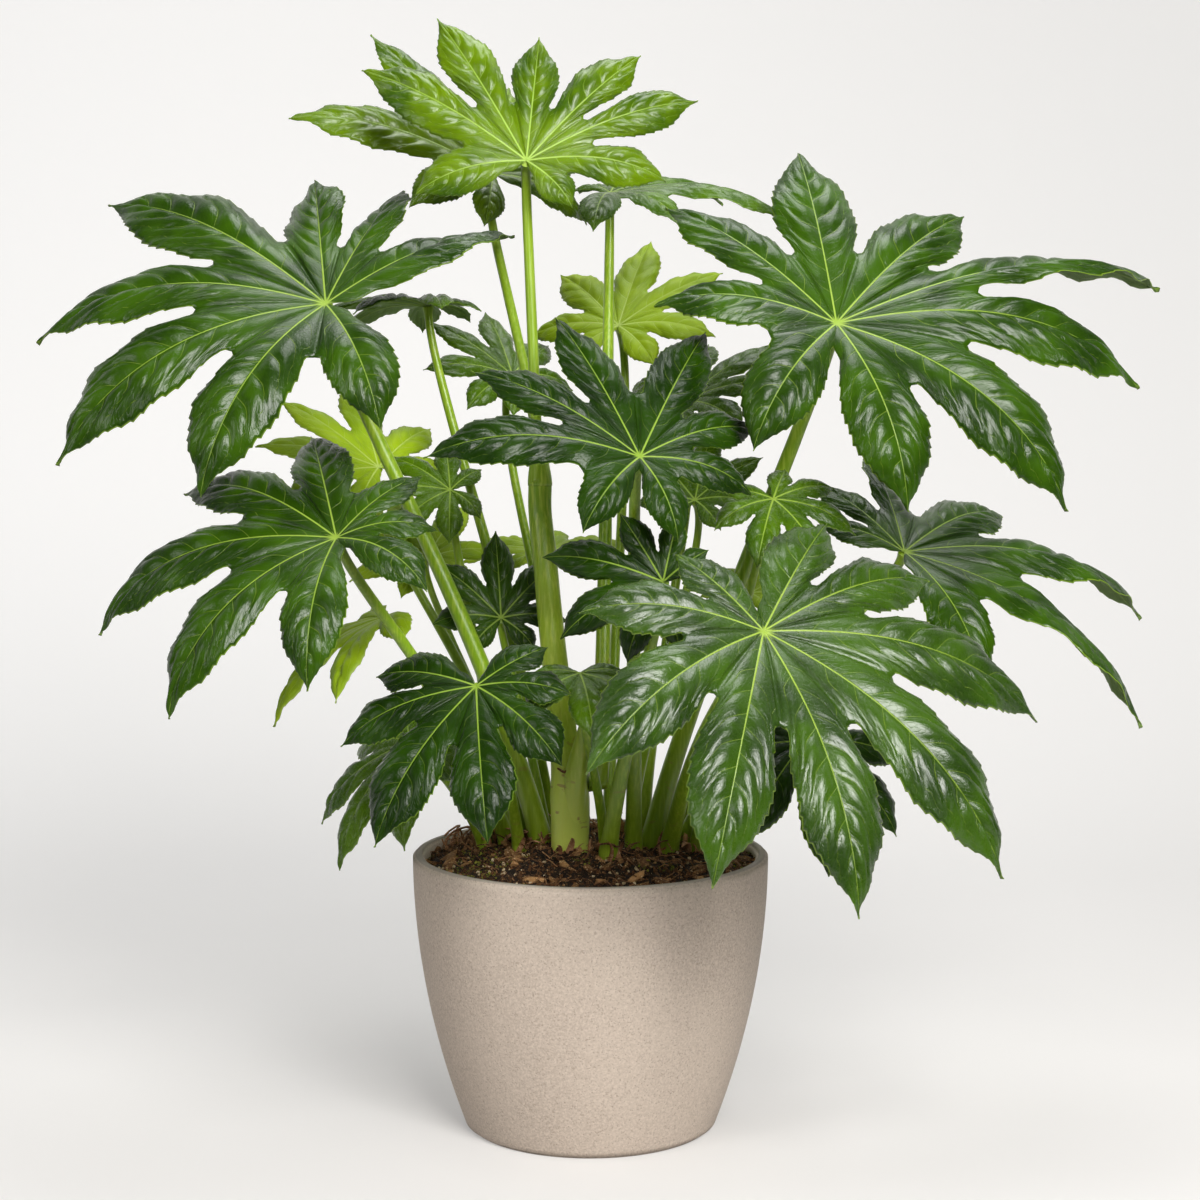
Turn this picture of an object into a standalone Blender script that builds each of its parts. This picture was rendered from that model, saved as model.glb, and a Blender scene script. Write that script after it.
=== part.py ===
"""Potted fatsia: long-stalked palmate leaves on a green cane, growing in a round stoneware planter.

Units are metres and +Z is up. The origin is the middle of the pot's flat underside. Every leaf is
a thin blade and the stalk that carries it; most stalks stand in the soil and a few leave the cane.
"""

import math
from collections import namedtuple

import bmesh
import bpy
import numpy as np
from mathutils import Matrix

MM = 0.001
GAP = 0.3 * MM
UP = np.array([0.0, 0.0, 1.0])

# Pot: a turned planter whose side runs up as a parabola from the foot to the rim.
RIM_RADIUS = 150 * MM
FOOT_RADIUS = 106 * MM
POT_HEIGHT = 232 * MM
WALL = 10 * MM
POT_FLOOR = 16 * MM
EDGE_ROUND = 2.5 * MM
POT_SEGMENTS = 40
POT_SIDE_STEPS = 7
SHARP_EDGE = math.radians(40)

# Soil: fills the pot to a little under the rim and mounds up round the stems.
SOIL_EDGE = 224 * MM
SOIL_MOUND = 20 * MM
SOIL_RINGS = 4
SOCKET_DEPTH = 12 * MM
SOCKET_SLACK = 1.0 * MM
SOCKET_SIDES = 10

# Cane: the thick main stem, with a knee where a side stalk leaves it. Two crown leaves stand on
# its cut-off top. The route is in mm, with the heights measured from the soil at its foot.
CANE_SIDES = 12
CANE_RINGS = 10
CANE_ROUTE = [(-17, -38, 0), (-17, -37, 42), (-21, -33, 82), (-30, -20, 158), (-38, -8, 237),
              (-42, 0, 277), (-42, 0, 302)]
CANE_RADII = (15.5, 16.5, 12.0, 10.8, 10.2, 9.8, 9.8)
KNEE = 11 * MM
KNEE_RING = 3
KNEE_AIM = np.array([1.0, 0.25, 0.0])
TOP_SPREAD = np.array([0.35, 1.0, 0.0])
CANE_SEATS = ("cane_front", "cane_rear", "cane_side")

# Blades. Lengths along and across a lobe are shares of the lobe's length.
BLADE_THICKNESS = 0.9 * MM
WEB_RADIUS = 0.40
RIB_WEB_SHARE = 0.5
WEB_EASE = 0.25
SINUS_GAP = 0.022
LOBE_WIDTH = 0.172
WIDEST_AT = 0.56
BASE_POWER = 1.4
TIP_POWER = 1.1
SMALLEST_LOBE = 0.52
TAPER_POWER = 1.7
OUTER_HALF_ANGLE = math.radians(38)
OUTER_BASE_WIDTH = 0.6
MARGIN_SPREAD = 0.85
MARGIN_DROP = 0.15
WEB_DROP = 0.10
SAG_DOWN = 0.5
FULL_SAG = 0.7
DROOP_POWER = 1.5
UPRIGHT_EASE = 0.9
TWIST_END = 0.8
MIDRIB_STEPS = 30
BIG_LEAF = 150
BIG_LEAF_ROWS = (2, 4)
SMALL_LEAF_ROWS = (1, 3)

# Stalks.
STALK_RINGS = 7
STALK_SIDES = 7
STALK_SPREAD = 0.9
NECK = 3 * MM
OUTWARD = 0.7
LEVEL = np.array([1.0, 1.0, 0.0])

Leaf = namedtuple("Leaf", "name tone hub turn angles reaches curl foot girth lean broad twists",
                  defaults=(1.0, None))


def fan(count, step):
    """Directions of the lobes of an even leaf, in degrees either side of its middle lobe."""
    return [(i - (count - 1) / 2) * step for i in range(count)]


def taper(count, reach):
    """Lobe lengths that fall away from the middle lobe to the small ones beside the stalk."""
    half = (count - 1) / 2
    return [reach * (1 - (1 - SMALLEST_LOBE) * (abs(i - half) / half) ** TAPER_POWER)
            for i in range(count)]


# name, tone, hub (mm), (heading, pitch, roll) of the blade, lobe directions, lobe lengths (mm),
# (rise, droop) of the midribs, foot on the soil (mm) or the cane, stalk radii (mm), lean of the
# foot and of the neck as shares of the stalk's length, breadth of the lobes beside that of an
# even leaf, and how far each lobe twists over towards its tip. Angles are in degrees.
LEAVES = [
    Leaf("upper_left", "deep", (-217, -20, 691), (168, -11, -43),
         (-126, -92, -66, -24, 12, 46, 78, 131), (192, 172, 178, 268, 262, 268, 216, 140),
         (14, 50), (-42, -12), (9.0, 4.8), (0.42, 0.18), 1.0, (-32, -44, -20, 0, 12, 0, 0, 0)),
    Leaf("crown_front", "young", (-52, -20, 807), (108, -66, -12),
         (-140, -98, -70, -48, -12, 22, 50, 98), (56, 120, 160, 143, 117, 152, 161, 98),
         (12, 34), "cane_front", (5.2, 4.2), (0.40, 0.12), 1.1),
    Leaf("crown_rear", "young", (-85, 105, 808), (138, -50, -8),
         (-112, -76, -38, 8, 56, 96, 144), (110, 140, 150, 184, 186, 100, 62),
         (10, 45), "cane_rear", (5.0, 4.0), (0.40, 0.10)),
    Leaf("upper_right", "deep", (198, -60, 674), (47, -38, 36),
         (-127, -90, -53, -34, -5, 38, 76, 108, 178), (180, 250, 282, 326, 195, 207, 192, 154, 142),
         (12, 50), (52, -8), (9.0, 5.4), (0.30, 0.20), 1.0, (0, 0, -8, -46, 0, 0, 16, 16, 0)),
    Leaf("centre", "deep", (39, -130, 569), (120, -52, -10),
         (-172, -113, -78, -40, 8, 43, 74, 128), (80, 100, 117, 158, 150, 152, 174, 88),
         (14, 42), (36, -24), (6.8, 4.4), (0.48, 0.07)),
    Leaf("mid_left", "deep", (-201, -100, 504), (157, -6, -40),
         (-192, -151, -109, -55, -18, 26, 65, 104), (100, 84, 98, 156, 194, 228, 209, 151),
         (16, 55), (-72, 8), (6.5, 4.2), (0.45, 0.20)),
    Leaf("low_left", "deep", (-88, -150, 392), (-114, 44, -5),
         (-97, -62, -17, 22, 61, 101, 141), (95, 120, 154, 141, 105, 77, 66),
         (8, 36), (-60, -24), (5.2, 3.8), (0.45, 0.25), 1.35),
    Leaf("front_right", "deep", (131, -200, 440), (-39, 44, 22),
         (-171, -129, -83, -47, -16, 17, 55, 90, 120), (94, 144, 197, 225, 241, 265, 250, 184, 144),
         (12, 42), (66, -26), (7.5, 5.0), (0.45, 0.25)),
    Leaf("mid_right", "deep", (268, 40, 483), (-5, 19, 31),
         (-50, -13, 25, 62, 110, 142, 172), (158, 258, 256, 166, 150, 115, 80),
         (12, 46), (80, 10), (6.5, 4.2), (0.45, 0.20), 1.0, (0, -36, -28, 0, 40, 0, 0)),
    Leaf("crown_right", "mid", (17, 120, 793), (12, -2, 14),
         (-112, -55, -11, 32, 68, 105), (94, 90, 182, 150, 105, 62),
         (10, 45), "cane_side", (7.5, 4.0), (0.40, 0.10)),
    Leaf("rear_left", "pale", (-187, 107, 553), (148, -38, -13),
         (-106, -70, -30, 10, 48, 85, 120), (90, 112, 132, 115, 111, 106, 67),
         (8, 35), (-54, 44), (5.2, 3.6), (0.45, 0.18)),
    Leaf("inner_right", "mid", (148, -62, 533), (-50, 38, 18), fan(7, 44), taper(7, 82),
         (12, 40), (88, -16), (5.0, 3.4), (0.30, 0.20), 1.2),
    Leaf("inner_centre", "mid", (90, 66, 526), (70, -52, 0), fan(7, 44), taper(7, 78),
         (12, 40), (34, 32), (4.8, 3.4), (0.40, 0.20), 1.2),
    Leaf("inner_left", "mid", (-121, 59, 535), (185, 0, -40), fan(7, 44), taper(7, 80),
         (12, 40), (-73, 24), (5.0, 3.4), (0.40, 0.15), 1.2),
    Leaf("inner_front", "deep", (57, -137, 472), (168, -15, -72),
         (-125, -85, -42, 0, 40, 80, 122), (44, 55, 66, 102, 96, 72, 58),
         (12, 40), (15, -57), (7.2, 3.8), (0.40, 0.15), 1.15),
    Leaf("low_rear_left", "pale", (-176, 45, 427), (200, 32, 0), fan(5, 42), taper(5, 140),
         (12, 45), (-88, 22), (5.0, 3.4), (0.45, 0.20)),
    Leaf("low_left_under", "mid", (-150, -30, 330), (215, 45, 0), fan(7, 42), taper(7, 125),
         (8, 40), (-92, 4), (4.6, 3.2), (0.45, 0.20), 1.15),
    Leaf("low_right_under", "deep", (177, -46, 333), (-75, 50, 0), fan(7, 42), taper(7, 120),
         (8, 40), (96, 12), (4.8, 3.4), (0.45, 0.20), 1.15),
    Leaf("rear_upper_left", "mid", (-144, 130, 695), (190, 0, 5), fan(7, 46), taper(7, 115),
         (10, 40), (-34, 58), (6.0, 3.8), (0.40, 0.12)),
    Leaf("rear_centre", "mid", (-72, 191, 634), (140, -42, -10), fan(8, 42), taper(8, 98),
         (10, 40), (-10, 54), (5.4, 3.6), (0.40, 0.14), 1.15),
    Leaf("rear_top", "young", (25, 223, 680), (70, -45, 0), fan(7, 44), taper(7, 125),
         (8, 35), (16, 60), (5.6, 3.8), (0.40, 0.14), 1.15),
    Leaf("crinkled", "mid", (-8, -100, 396), (-80, 26, 0), fan(5, 50), taper(5, 80),
         (10, 40), (12, -38), (4.6, 3.2), (0.40, 0.20), 1.35),
    Leaf("rear_right", "mid", (82, 136, 611), (50, -35, 0), fan(8, 42), taper(8, 115),
         (10, 40), (46, 54), (5.4, 3.6), (0.40, 0.16), 1.15),
    Leaf("rear_low_centre", "deep", (-76, 24, 428), (100, -65, 0), fan(7, 44), taper(7, 80),
         (12, 40), (-38, 12), (4.8, 3.4), (0.40, 0.12), 1.25),
    Leaf("rear_pale", "pale", (-40, 215, 470), (90, -10, 0), fan(7, 44), taper(7, 120),
         (10, 40), (-14, 78), (5.0, 3.4), (0.40, 0.16)),
    Leaf("inner_rear_left", "pale", (-148, 142, 470), (120, -40, -10), fan(7, 44), taper(7, 100),
         (10, 40), (-60, 66), (4.6, 3.2), (0.40, 0.16)),
    Leaf("low_right_rear", "young", (137, 45, 447), (70, -30, 0), fan(7, 44), taper(7, 66),
         (12, 40), (78, 38), (4.6, 3.2), (0.40, 0.16), 1.15),
]

TONES = {"deep": (0.030, 0.110, 0.035), "mid": (0.060, 0.180, 0.040),
         "young": (0.180, 0.380, 0.050), "pale": (0.220, 0.400, 0.110)}
STALK_GREEN = (0.150, 0.260, 0.040)


def unit(vector):
    """The vector at length one."""
    return vector / np.linalg.norm(vector)


def leaf_axes(turn):
    """A blade's own axes: along its middle direction, to its left, and out of its top face."""
    heading, pitch, roll = np.radians(turn)
    along = np.array([math.cos(pitch) * math.cos(heading), math.cos(pitch) * math.sin(heading),
                      -math.sin(pitch)])
    level = np.array([-math.sin(heading), math.cos(heading), 0.0])
    left = math.cos(roll) * level + math.sin(roll) * np.cross(along, level)
    return along, left, np.cross(along, left)


class Lobe:
    """One lobe of a blade: its curved midrib, and the surface that the midrib carries."""

    def __init__(self, leaf, index):
        along, left, out = leaf_axes(leaf.turn)
        angle = math.radians(leaf.angles[index])
        rise, droop = np.radians(leaf.curl)
        self.length = leaf.reaches[index] * MM
        self.angle = angle
        self.breadth = LOBE_WIDTH * leaf.broad * math.sqrt(self.length * np.mean(leaf.reaches) * MM)
        self.twist = math.radians(leaf.twists[index]) if leaf.twists else 0.0
        heading = math.cos(angle) * along + math.sin(angle) * left
        self.side = np.cross(out, heading)
        sag = -(1 - SAG_DOWN) * out - SAG_DOWN * UP
        sag = sag - sag.dot(heading) * heading
        reach = min(1.0, np.linalg.norm(sag) / FULL_SAG) * (1 - UPRIGHT_EASE * max(0.0, heading[2]))
        share = (np.arange(MIDRIB_STEPS) + 0.5) / MIDRIB_STEPS
        bend = reach * ((rise + droop) * share ** DROOP_POWER - rise)
        tangents = np.outer(np.cos(bend), heading) + np.outer(np.sin(bend), unit(sag))
        steps = np.cumsum(tangents, axis=0) * self.length / MIDRIB_STEPS
        self.stations = np.linspace(0, self.length, MIDRIB_STEPS + 1)
        self.points = np.vstack([np.zeros(3), steps])
        self.tangents = np.vstack([tangents[:1], tangents])

    def midrib(self, x):
        """The midrib's point at a distance from the hub."""
        return np.array([np.interp(x, self.stations, self.points[:, axis]) for axis in range(3)])

    def frame(self, x):
        """The directions across the lobe and out of its face at a distance from the hub."""
        tangent = unit(np.array([np.interp(x, self.stations, self.tangents[:, axis])
                                 for axis in range(3)]))
        level = unit(self.side - self.side.dot(tangent) * tangent)
        share = min(1.0, max(0.0, x / (TWIST_END * self.length)))
        roll = self.twist * share * share * (3 - 2 * share)
        across = math.cos(roll) * level + math.sin(roll) * np.cross(tangent, level)
        return across, np.cross(tangent, across)

    def place(self, x, y):
        """The point of the unblended lobe surface over a flat place beside the midrib."""
        across, out = self.frame(x)
        return self.midrib(x) + y * across, out


def blend(lobe, other, x, y, half_angle, web):
    """Surface point of a lobe, eased into its neighbour's surface near the web between them."""
    point, out = lobe.place(x, y)
    if other is None:
        return point, out
    radius = math.hypot(x, y)
    bearing = math.atan2(y, x)
    share = min(1.0, abs(bearing) / half_angle)
    fade = 1.0 if radius < web else max(0.0, 2 - radius / web)
    weight = 0.5 * share * share * (3 - 2 * share) * fade * fade
    beyond = bearing + lobe.angle - other.angle
    second, second_out = other.place(radius * math.cos(beyond), radius * math.sin(beyond))
    return (1 - weight) * point + weight * second, unit((1 - weight) * out + weight * second_out)


def lobe_width(share):
    """Half-width of a lobe along its length, as a share of its greatest half-width."""
    return ((share / WIDEST_AT) ** BASE_POWER
            * (max(0.0, 1 - share) / (1 - WIDEST_AT)) ** TIP_POWER)


def margin(lobe, half_angle, web, x):
    """Half-width of a lobe at x, kept off the neighbouring lobe by a widening gap."""
    room = x * math.tan(half_angle) - SINUS_GAP * lobe.length
    wide = lobe.breadth * lobe_width(x / lobe.length)
    start = web * math.cos(half_angle)
    mix = min(1.0, max(0.0, (x - start) / (WEB_EASE * lobe.length)))
    wide = max(wide, (1 - mix) * room)
    return max(0.0, min(room, wide))


def half_angle_beside(leaf, index, side):
    """Half the angle from a lobe to its neighbour on one side, or None beside the stalk."""
    other = index + side
    if other < 0 or other >= len(leaf.angles):
        return None
    return math.radians(abs(leaf.angles[other] - leaf.angles[index])) / 2


def web_radius(leaf, index):
    """How far the web between a lobe and the next one reaches from the hub."""
    return WEB_RADIUS * MM * (leaf.reaches[index] + leaf.reaches[index + 1]) / 2


class Blade:
    """The sheet of one leaf blade: half-lobe grids that share midribs, web lines and the hub."""

    def __init__(self, leaf, web_rows, free_rows):
        self.leaf = leaf
        self.hub = np.array(leaf.hub) * MM
        self.web_rows = web_rows
        self.rows = web_rows + free_rows
        self.lobes = [Lobe(leaf, index) for index in range(len(leaf.angles))]
        self.points = [self.hub]
        self.faces = []
        self.ribs = [self.rib(index) for index in range(len(self.lobes))]
        for index in range(len(self.lobes) - 1):
            self.join(index)
        self.outer_margin(0, -1)
        self.outer_margin(len(self.lobes) - 1, 1)

    def add(self, point):
        """Keep a point and return its number."""
        self.points.append(self.hub + point)
        return len(self.points) - 1

    def station(self, lobe, row):
        """Distance from the hub at which a row of the grid leaves the midrib."""
        start = RIB_WEB_SHARE * WEB_RADIUS * lobe.length
        if row <= self.web_rows:
            return start * row / self.web_rows
        return start + (lobe.length - start) * (row - self.web_rows) / (self.rows - self.web_rows)

    def rib(self, index):
        """Points along a midrib, from the hub to the lobe's tip."""
        lobe = self.lobes[index]
        return [0] + [self.add(lobe.midrib(self.station(lobe, row)))
                      for row in range(1, self.rows + 1)]

    def free_edge(self, index, side, half_angle, web):
        """Points of the free margin, from the web to just short of the tip."""
        lobe = self.lobes[index]
        other = self.lobes[index + side] if 0 <= index + side < len(self.lobes) else None
        start = web * math.cos(half_angle)
        edge = []
        for row in range(self.web_rows + 1, self.rows):
            share = (row - self.web_rows) / (self.rows - self.web_rows)
            x = start + (lobe.length - start) * share ** MARGIN_SPREAD
            y = side * margin(lobe, half_angle, web, x)
            point, out = blend(lobe, other, x, y, half_angle, web)
            edge.append(self.add(point - MARGIN_DROP * abs(y) * out))
        return edge

    def sew(self, rib, edge, side):
        """Faces between a midrib and the web line and margin beside it."""
        tip = rib[-1]
        edge = [0] + edge + [tip]
        for row in range(self.rows):
            corners = [rib[row], rib[row + 1], edge[row + 1], edge[row]]
            face = [corner for place, corner in enumerate(corners) if corner not in corners[:place]]
            self.faces.append(face if side > 0 else face[::-1])

    def join(self, index):
        """The two half-lobes that meet in the web between a lobe and the next one."""
        half_angle = half_angle_beside(self.leaf, index, 1)
        web = web_radius(self.leaf, index)
        first, second = self.lobes[index], self.lobes[index + 1]
        line = []
        for row in range(1, self.web_rows + 1):
            radius = web * row / self.web_rows
            x, y = radius * math.cos(half_angle), radius * math.sin(half_angle)
            point, out = blend(first, second, x, y, half_angle, web)
            line.append(self.add(point - WEB_DROP * y * out))
        self.sew(self.ribs[index], line + self.free_edge(index, 1, half_angle, web), 1)
        self.sew(self.ribs[index + 1], line + self.free_edge(index + 1, -1, half_angle, web), -1)

    def outer_margin(self, index, side):
        """The half-lobe beside the stalk, whose margin is free all the way from the hub."""
        lobe = self.lobes[index]
        edge = []
        for row in range(1, self.rows):
            share = row / self.rows
            x = lobe.length * share ** MARGIN_SPREAD
            wide = lobe.breadth * max(lobe_width(share), OUTER_BASE_WIDTH * (1 - share))
            y = side * min(x * math.tan(OUTER_HALF_ANGLE), wide)
            point, out = lobe.place(x, y)
            edge.append(self.add(point - MARGIN_DROP * abs(y) * out))
        self.sew(self.ribs[index], edge, side)


def material(name, colour, roughness):
    """A plain non-metallic material."""
    made = bpy.data.materials.new(name)
    made.use_nodes = True
    shader = made.node_tree.nodes["Principled BSDF"]
    shader.inputs["Base Color"].default_value = (*colour, 1.0)
    shader.inputs["Roughness"].default_value = roughness
    shader.inputs["Metallic"].default_value = 0.0
    return made


def add_object(name, points, faces, finish, smooth=True):
    """A mesh object in the scene from points and faces."""
    mesh = bpy.data.meshes.new(name)
    mesh.from_pydata([tuple(point) for point in points], [], faces)
    mesh.validate()
    mesh.materials.append(finish)
    if smooth:
        mesh.shade_smooth()
    made = bpy.data.objects.new(name, mesh)
    bpy.context.scene.collection.objects.link(made)
    return made


def blade_object(leaf, finish):
    """A leaf blade as a thin closed solid whose top face is the sheet."""
    sheet = Blade(leaf, *(BIG_LEAF_ROWS if max(leaf.reaches) > BIG_LEAF else SMALL_LEAF_ROWS))
    made = add_object("leaf_" + leaf.name, sheet.points, sheet.faces, finish)
    thick = made.modifiers.new("thickness", "SOLIDIFY")
    thick.thickness = BLADE_THICKNESS
    thick.offset = -1.0
    return made


def tube(name, route, radii, sides, finish):
    """A tapered tube with flat ends along a list of points."""
    tangents = np.gradient(route, axis=0)
    points = []
    side = np.array([1.0, 0.0, 0.0])
    for centre, tangent, radius in zip(route, tangents, radii):
        tangent = unit(tangent)
        side = unit(side - side.dot(tangent) * tangent)
        other = np.cross(tangent, side)
        for step in range(sides):
            turn = 2 * math.pi * step / sides
            points.append(centre + radius * (math.cos(turn) * side + math.sin(turn) * other))
    faces = []
    for ring in range(len(route) - 1):
        for step in range(sides):
            after = (step + 1) % sides
            faces.append([ring * sides + step, ring * sides + after,
                          (ring + 1) * sides + after, (ring + 1) * sides + step])
    faces.append(list(range(sides))[::-1])
    faces.append([(len(route) - 1) * sides + step for step in range(sides)])
    return add_object(name, points, faces, finish)


def soil_height(x, y):
    """Height of the soil's surface."""
    share = min(1.0, math.hypot(x, y) / soil_radius(SOIL_EDGE))
    return SOIL_EDGE + SOIL_MOUND * (1 - share * share)


def pot_radius(z):
    """Outside radius of the pot at a height."""
    return RIM_RADIUS - (RIM_RADIUS - FOOT_RADIUS) * (1 - z / POT_HEIGHT) ** 2


def soil_radius(z):
    """Radius of the soil where it lies against the inside of the pot."""
    return pot_radius(z) - WALL - GAP


def smooth_route(points, radii, count):
    """Even samples of a smooth curve through hand-set points, with the radius beside each."""
    points = np.array(points, float)
    knots = np.arange(len(points))
    slopes = np.gradient(points, axis=0)
    samples = []
    widths = []
    for place in np.linspace(0, len(points) - 1, count):
        start = min(int(place), len(points) - 2)
        t = place - start
        samples.append((2 * t ** 3 - 3 * t ** 2 + 1) * points[start]
                       + (t ** 3 - 2 * t ** 2 + t) * slopes[start]
                       + (3 * t ** 2 - 2 * t ** 3) * points[start + 1]
                       + (t ** 3 - t ** 2) * slopes[start + 1])
        widths.append(float(np.interp(place, knots, radii)))
    return np.array(samples), np.array(widths)


def cane_route():
    """The cane's centre line and radii, rooted in the soil."""
    floor = soil_height(CANE_ROUTE[0][0] * MM, CANE_ROUTE[0][1] * MM)
    points = [np.array(point) * MM + floor * UP for point in CANE_ROUTE]
    points.insert(0, points[0] - (SOCKET_DEPTH - GAP) * UP)
    return smooth_route(points, [radius * MM for radius in CANE_RADII[:1] + CANE_RADII], CANE_RINGS)


def cane_seat(seat, girth):
    """Where a stalk leaves the cane, and its first step from there."""
    route, widths = cane_route()
    if seat == "cane_side":
        aside = unit(KNEE_AIM)
        return route[KNEE_RING] + aside * (widths[KNEE_RING] + 2 * GAP), KNEE * aside
    offset = -1 if seat == "cane_front" else 1
    return route[-1] + offset * (girth + GAP) * TOP_SPREAD + GAP * UP, NECK * UP


def soil_foot(leaf):
    """Where a stalk that stands in the soil comes out of it."""
    x, y = leaf.foot[0] * MM, leaf.foot[1] * MM
    return np.array([x, y, soil_height(x, y)])


def stalk_route(leaf):
    """Centre line of a leaf stalk, from its foot up to the underside of the blade's hub."""
    along, left, out = leaf_axes(leaf.turn)
    top = np.array(leaf.hub) * MM - out * (BLADE_THICKNESS + 2 * GAP)
    neck = top - NECK * out
    if leaf.foot in CANE_SEATS:
        foot, step = cane_seat(leaf.foot, leaf.girth[0] * MM)
        lead = []
    else:
        foot = soil_foot(leaf)
        step = NECK * UP
        lead = [foot - (SOCKET_DEPTH - GAP) * UP]
    collar = foot + step
    length = np.linalg.norm(top - foot)
    aim = unit(UP + OUTWARD * (top - foot) * LEVEL / length)
    first = collar + aim * leaf.lean[0] * length
    second = neck - out * leaf.lean[1] * length
    curve = [foot]
    for t in np.linspace(0, 1, STALK_RINGS) ** STALK_SPREAD:
        s = 1 - t
        curve.append(s ** 3 * collar + 3 * s * s * t * first + 3 * s * t * t * second + t ** 3 * neck)
    curve.append(top)
    radii = np.linspace(leaf.girth[0], leaf.girth[1], STALK_RINGS + 2) * MM
    return np.array(lead + curve), np.append(radii[:1], radii) if lead else radii


def turned(name, profile, segments, finish):
    """A solid of revolution. Its outline starts on the axis and ends there, outer side downwards."""
    points = []
    rings = []
    for radius, height in profile:
        if radius == 0:
            rings.append([len(points)] * segments)
            points.append((0, 0, height))
            continue
        rings.append(list(range(len(points), len(points) + segments)))
        for step in range(segments):
            turn = 2 * math.pi * step / segments
            points.append((radius * math.cos(turn), radius * math.sin(turn), height))
    faces = []
    for upper, lower in zip(rings, rings[1:]):
        for step in range(segments):
            after = (step + 1) % segments
            corners = [upper[step], lower[step], lower[after], upper[after]]
            faces.append([corner for place, corner in enumerate(corners)
                          if corner not in corners[:place]])
    return add_object(name, points, faces, finish)


def pot_object():
    """The planter: outside, rounded rim and foot, and the hollow that holds the soil."""
    inner_top = POT_HEIGHT - EDGE_ROUND
    heights = np.linspace(POT_FLOOR, inner_top, POT_SIDE_STEPS)
    inside = [(pot_radius(z) - WALL, z) for z in heights]
    rim = [(RIM_RADIUS - WALL + EDGE_ROUND, POT_HEIGHT), (RIM_RADIUS - EDGE_ROUND, POT_HEIGHT)]
    outside = [(pot_radius(z), z) for z in
               np.linspace(inner_top, EDGE_ROUND, POT_SIDE_STEPS + 2)]
    foot = [(FOOT_RADIUS - EDGE_ROUND, 0.0), (0, 0.0)]
    profile = [(0, POT_FLOOR)] + inside + rim + outside + foot
    made = turned("pot", profile, POT_SEGMENTS, material("stoneware", (0.42, 0.35, 0.29), 0.75))
    made.data.set_sharp_from_angle(angle=SHARP_EDGE)
    return made


def soil_object():
    """The ball of soil, with a socket for every stem that stands in it."""
    levels = np.linspace(SOIL_EDGE, POT_FLOOR + GAP, POT_SIDE_STEPS)
    edge = soil_radius(SOIL_EDGE)
    top = [(edge * ring / SOIL_RINGS, soil_height(edge * ring / SOIL_RINGS, 0))
           for ring in range(SOIL_RINGS)]
    side = [(soil_radius(z) - GAP, z) for z in levels]
    finish = material("potting_mix", (0.045, 0.028, 0.018), 0.95)
    made = turned("soil", top + side + [(0, POT_FLOOR + GAP)], POT_SEGMENTS, finish)
    cutters = bmesh.new()
    for foot, radius in rooted_stems():
        bmesh.ops.create_cone(cutters, cap_ends=True, segments=SOCKET_SIDES,
                              radius1=radius + SOCKET_SLACK, radius2=radius + SOCKET_SLACK,
                              depth=2 * SOCKET_DEPTH, matrix=Matrix.Translation(foot))
    mesh = bpy.data.meshes.new("sockets")
    cutters.to_mesh(mesh)
    cutters.free()
    cutter = bpy.data.objects.new("sockets", mesh)
    bpy.context.scene.collection.objects.link(cutter)
    cutter.hide_render = True
    cutter.display_type = "WIRE"
    cut = made.modifiers.new("sockets", "BOOLEAN")
    cut.operation = "DIFFERENCE"
    cut.object = cutter
    return made


def rooted_stems():
    """Foot and radius of each stem that stands in the soil."""
    route, widths = cane_route()
    stems = [(route[0] + (SOCKET_DEPTH - GAP) * UP, widths[0])]
    stems += [(soil_foot(leaf), leaf.girth[0] * MM) for leaf in LEAVES if leaf.foot not in CANE_SEATS]
    return stems


def build():
    """Model the whole plant in its pot."""
    for old in list(bpy.data.objects):
        bpy.data.objects.remove(old, do_unlink=True)
    pot_object()
    soil_object()
    stalk_finish = material("stalk_green", STALK_GREEN, 0.45)
    route, widths = cane_route()
    tube("cane", route, widths, CANE_SIDES, stalk_finish)
    finishes = {tone: material("leaf_" + tone, colour, 0.38) for tone, colour in TONES.items()}
    for leaf in LEAVES:
        route, widths = stalk_route(leaf)
        tube("stalk_" + leaf.name, route, widths, STALK_SIDES, stalk_finish)
        blade_object(leaf, finishes[leaf.tone])


build()
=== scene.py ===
"""Looks of a potted fatsia: its planter, potting mix, cane, leaf stalks and leaf blades."""

import math
from collections import namedtuple

import bmesh
import bpy
import numpy as np
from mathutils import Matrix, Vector, noise


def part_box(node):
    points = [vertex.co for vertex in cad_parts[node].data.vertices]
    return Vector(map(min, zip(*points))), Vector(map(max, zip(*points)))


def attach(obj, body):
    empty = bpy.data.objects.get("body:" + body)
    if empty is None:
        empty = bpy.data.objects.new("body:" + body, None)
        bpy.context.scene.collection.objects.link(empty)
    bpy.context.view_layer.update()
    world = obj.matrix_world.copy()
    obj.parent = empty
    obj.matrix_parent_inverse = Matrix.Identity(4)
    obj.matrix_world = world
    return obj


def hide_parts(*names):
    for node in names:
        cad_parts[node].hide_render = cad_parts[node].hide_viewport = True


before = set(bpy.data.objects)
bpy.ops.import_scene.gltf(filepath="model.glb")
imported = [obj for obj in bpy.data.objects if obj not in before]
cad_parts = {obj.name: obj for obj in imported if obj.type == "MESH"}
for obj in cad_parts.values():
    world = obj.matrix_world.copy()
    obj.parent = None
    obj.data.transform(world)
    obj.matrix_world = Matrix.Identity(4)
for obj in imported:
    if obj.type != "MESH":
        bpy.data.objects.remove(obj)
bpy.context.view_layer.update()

# ---------------------------------------------------------------------------------------------
# Studio: a pale seamless sweep that runs from the floor up behind the plant. A soft key lights it
# from the front and above, a little to the right, with a weaker top light and a fill from the
# left. The camera looks slightly down on the pot.

scene = bpy.context.scene
scene.view_settings.view_transform = "Standard"


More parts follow.
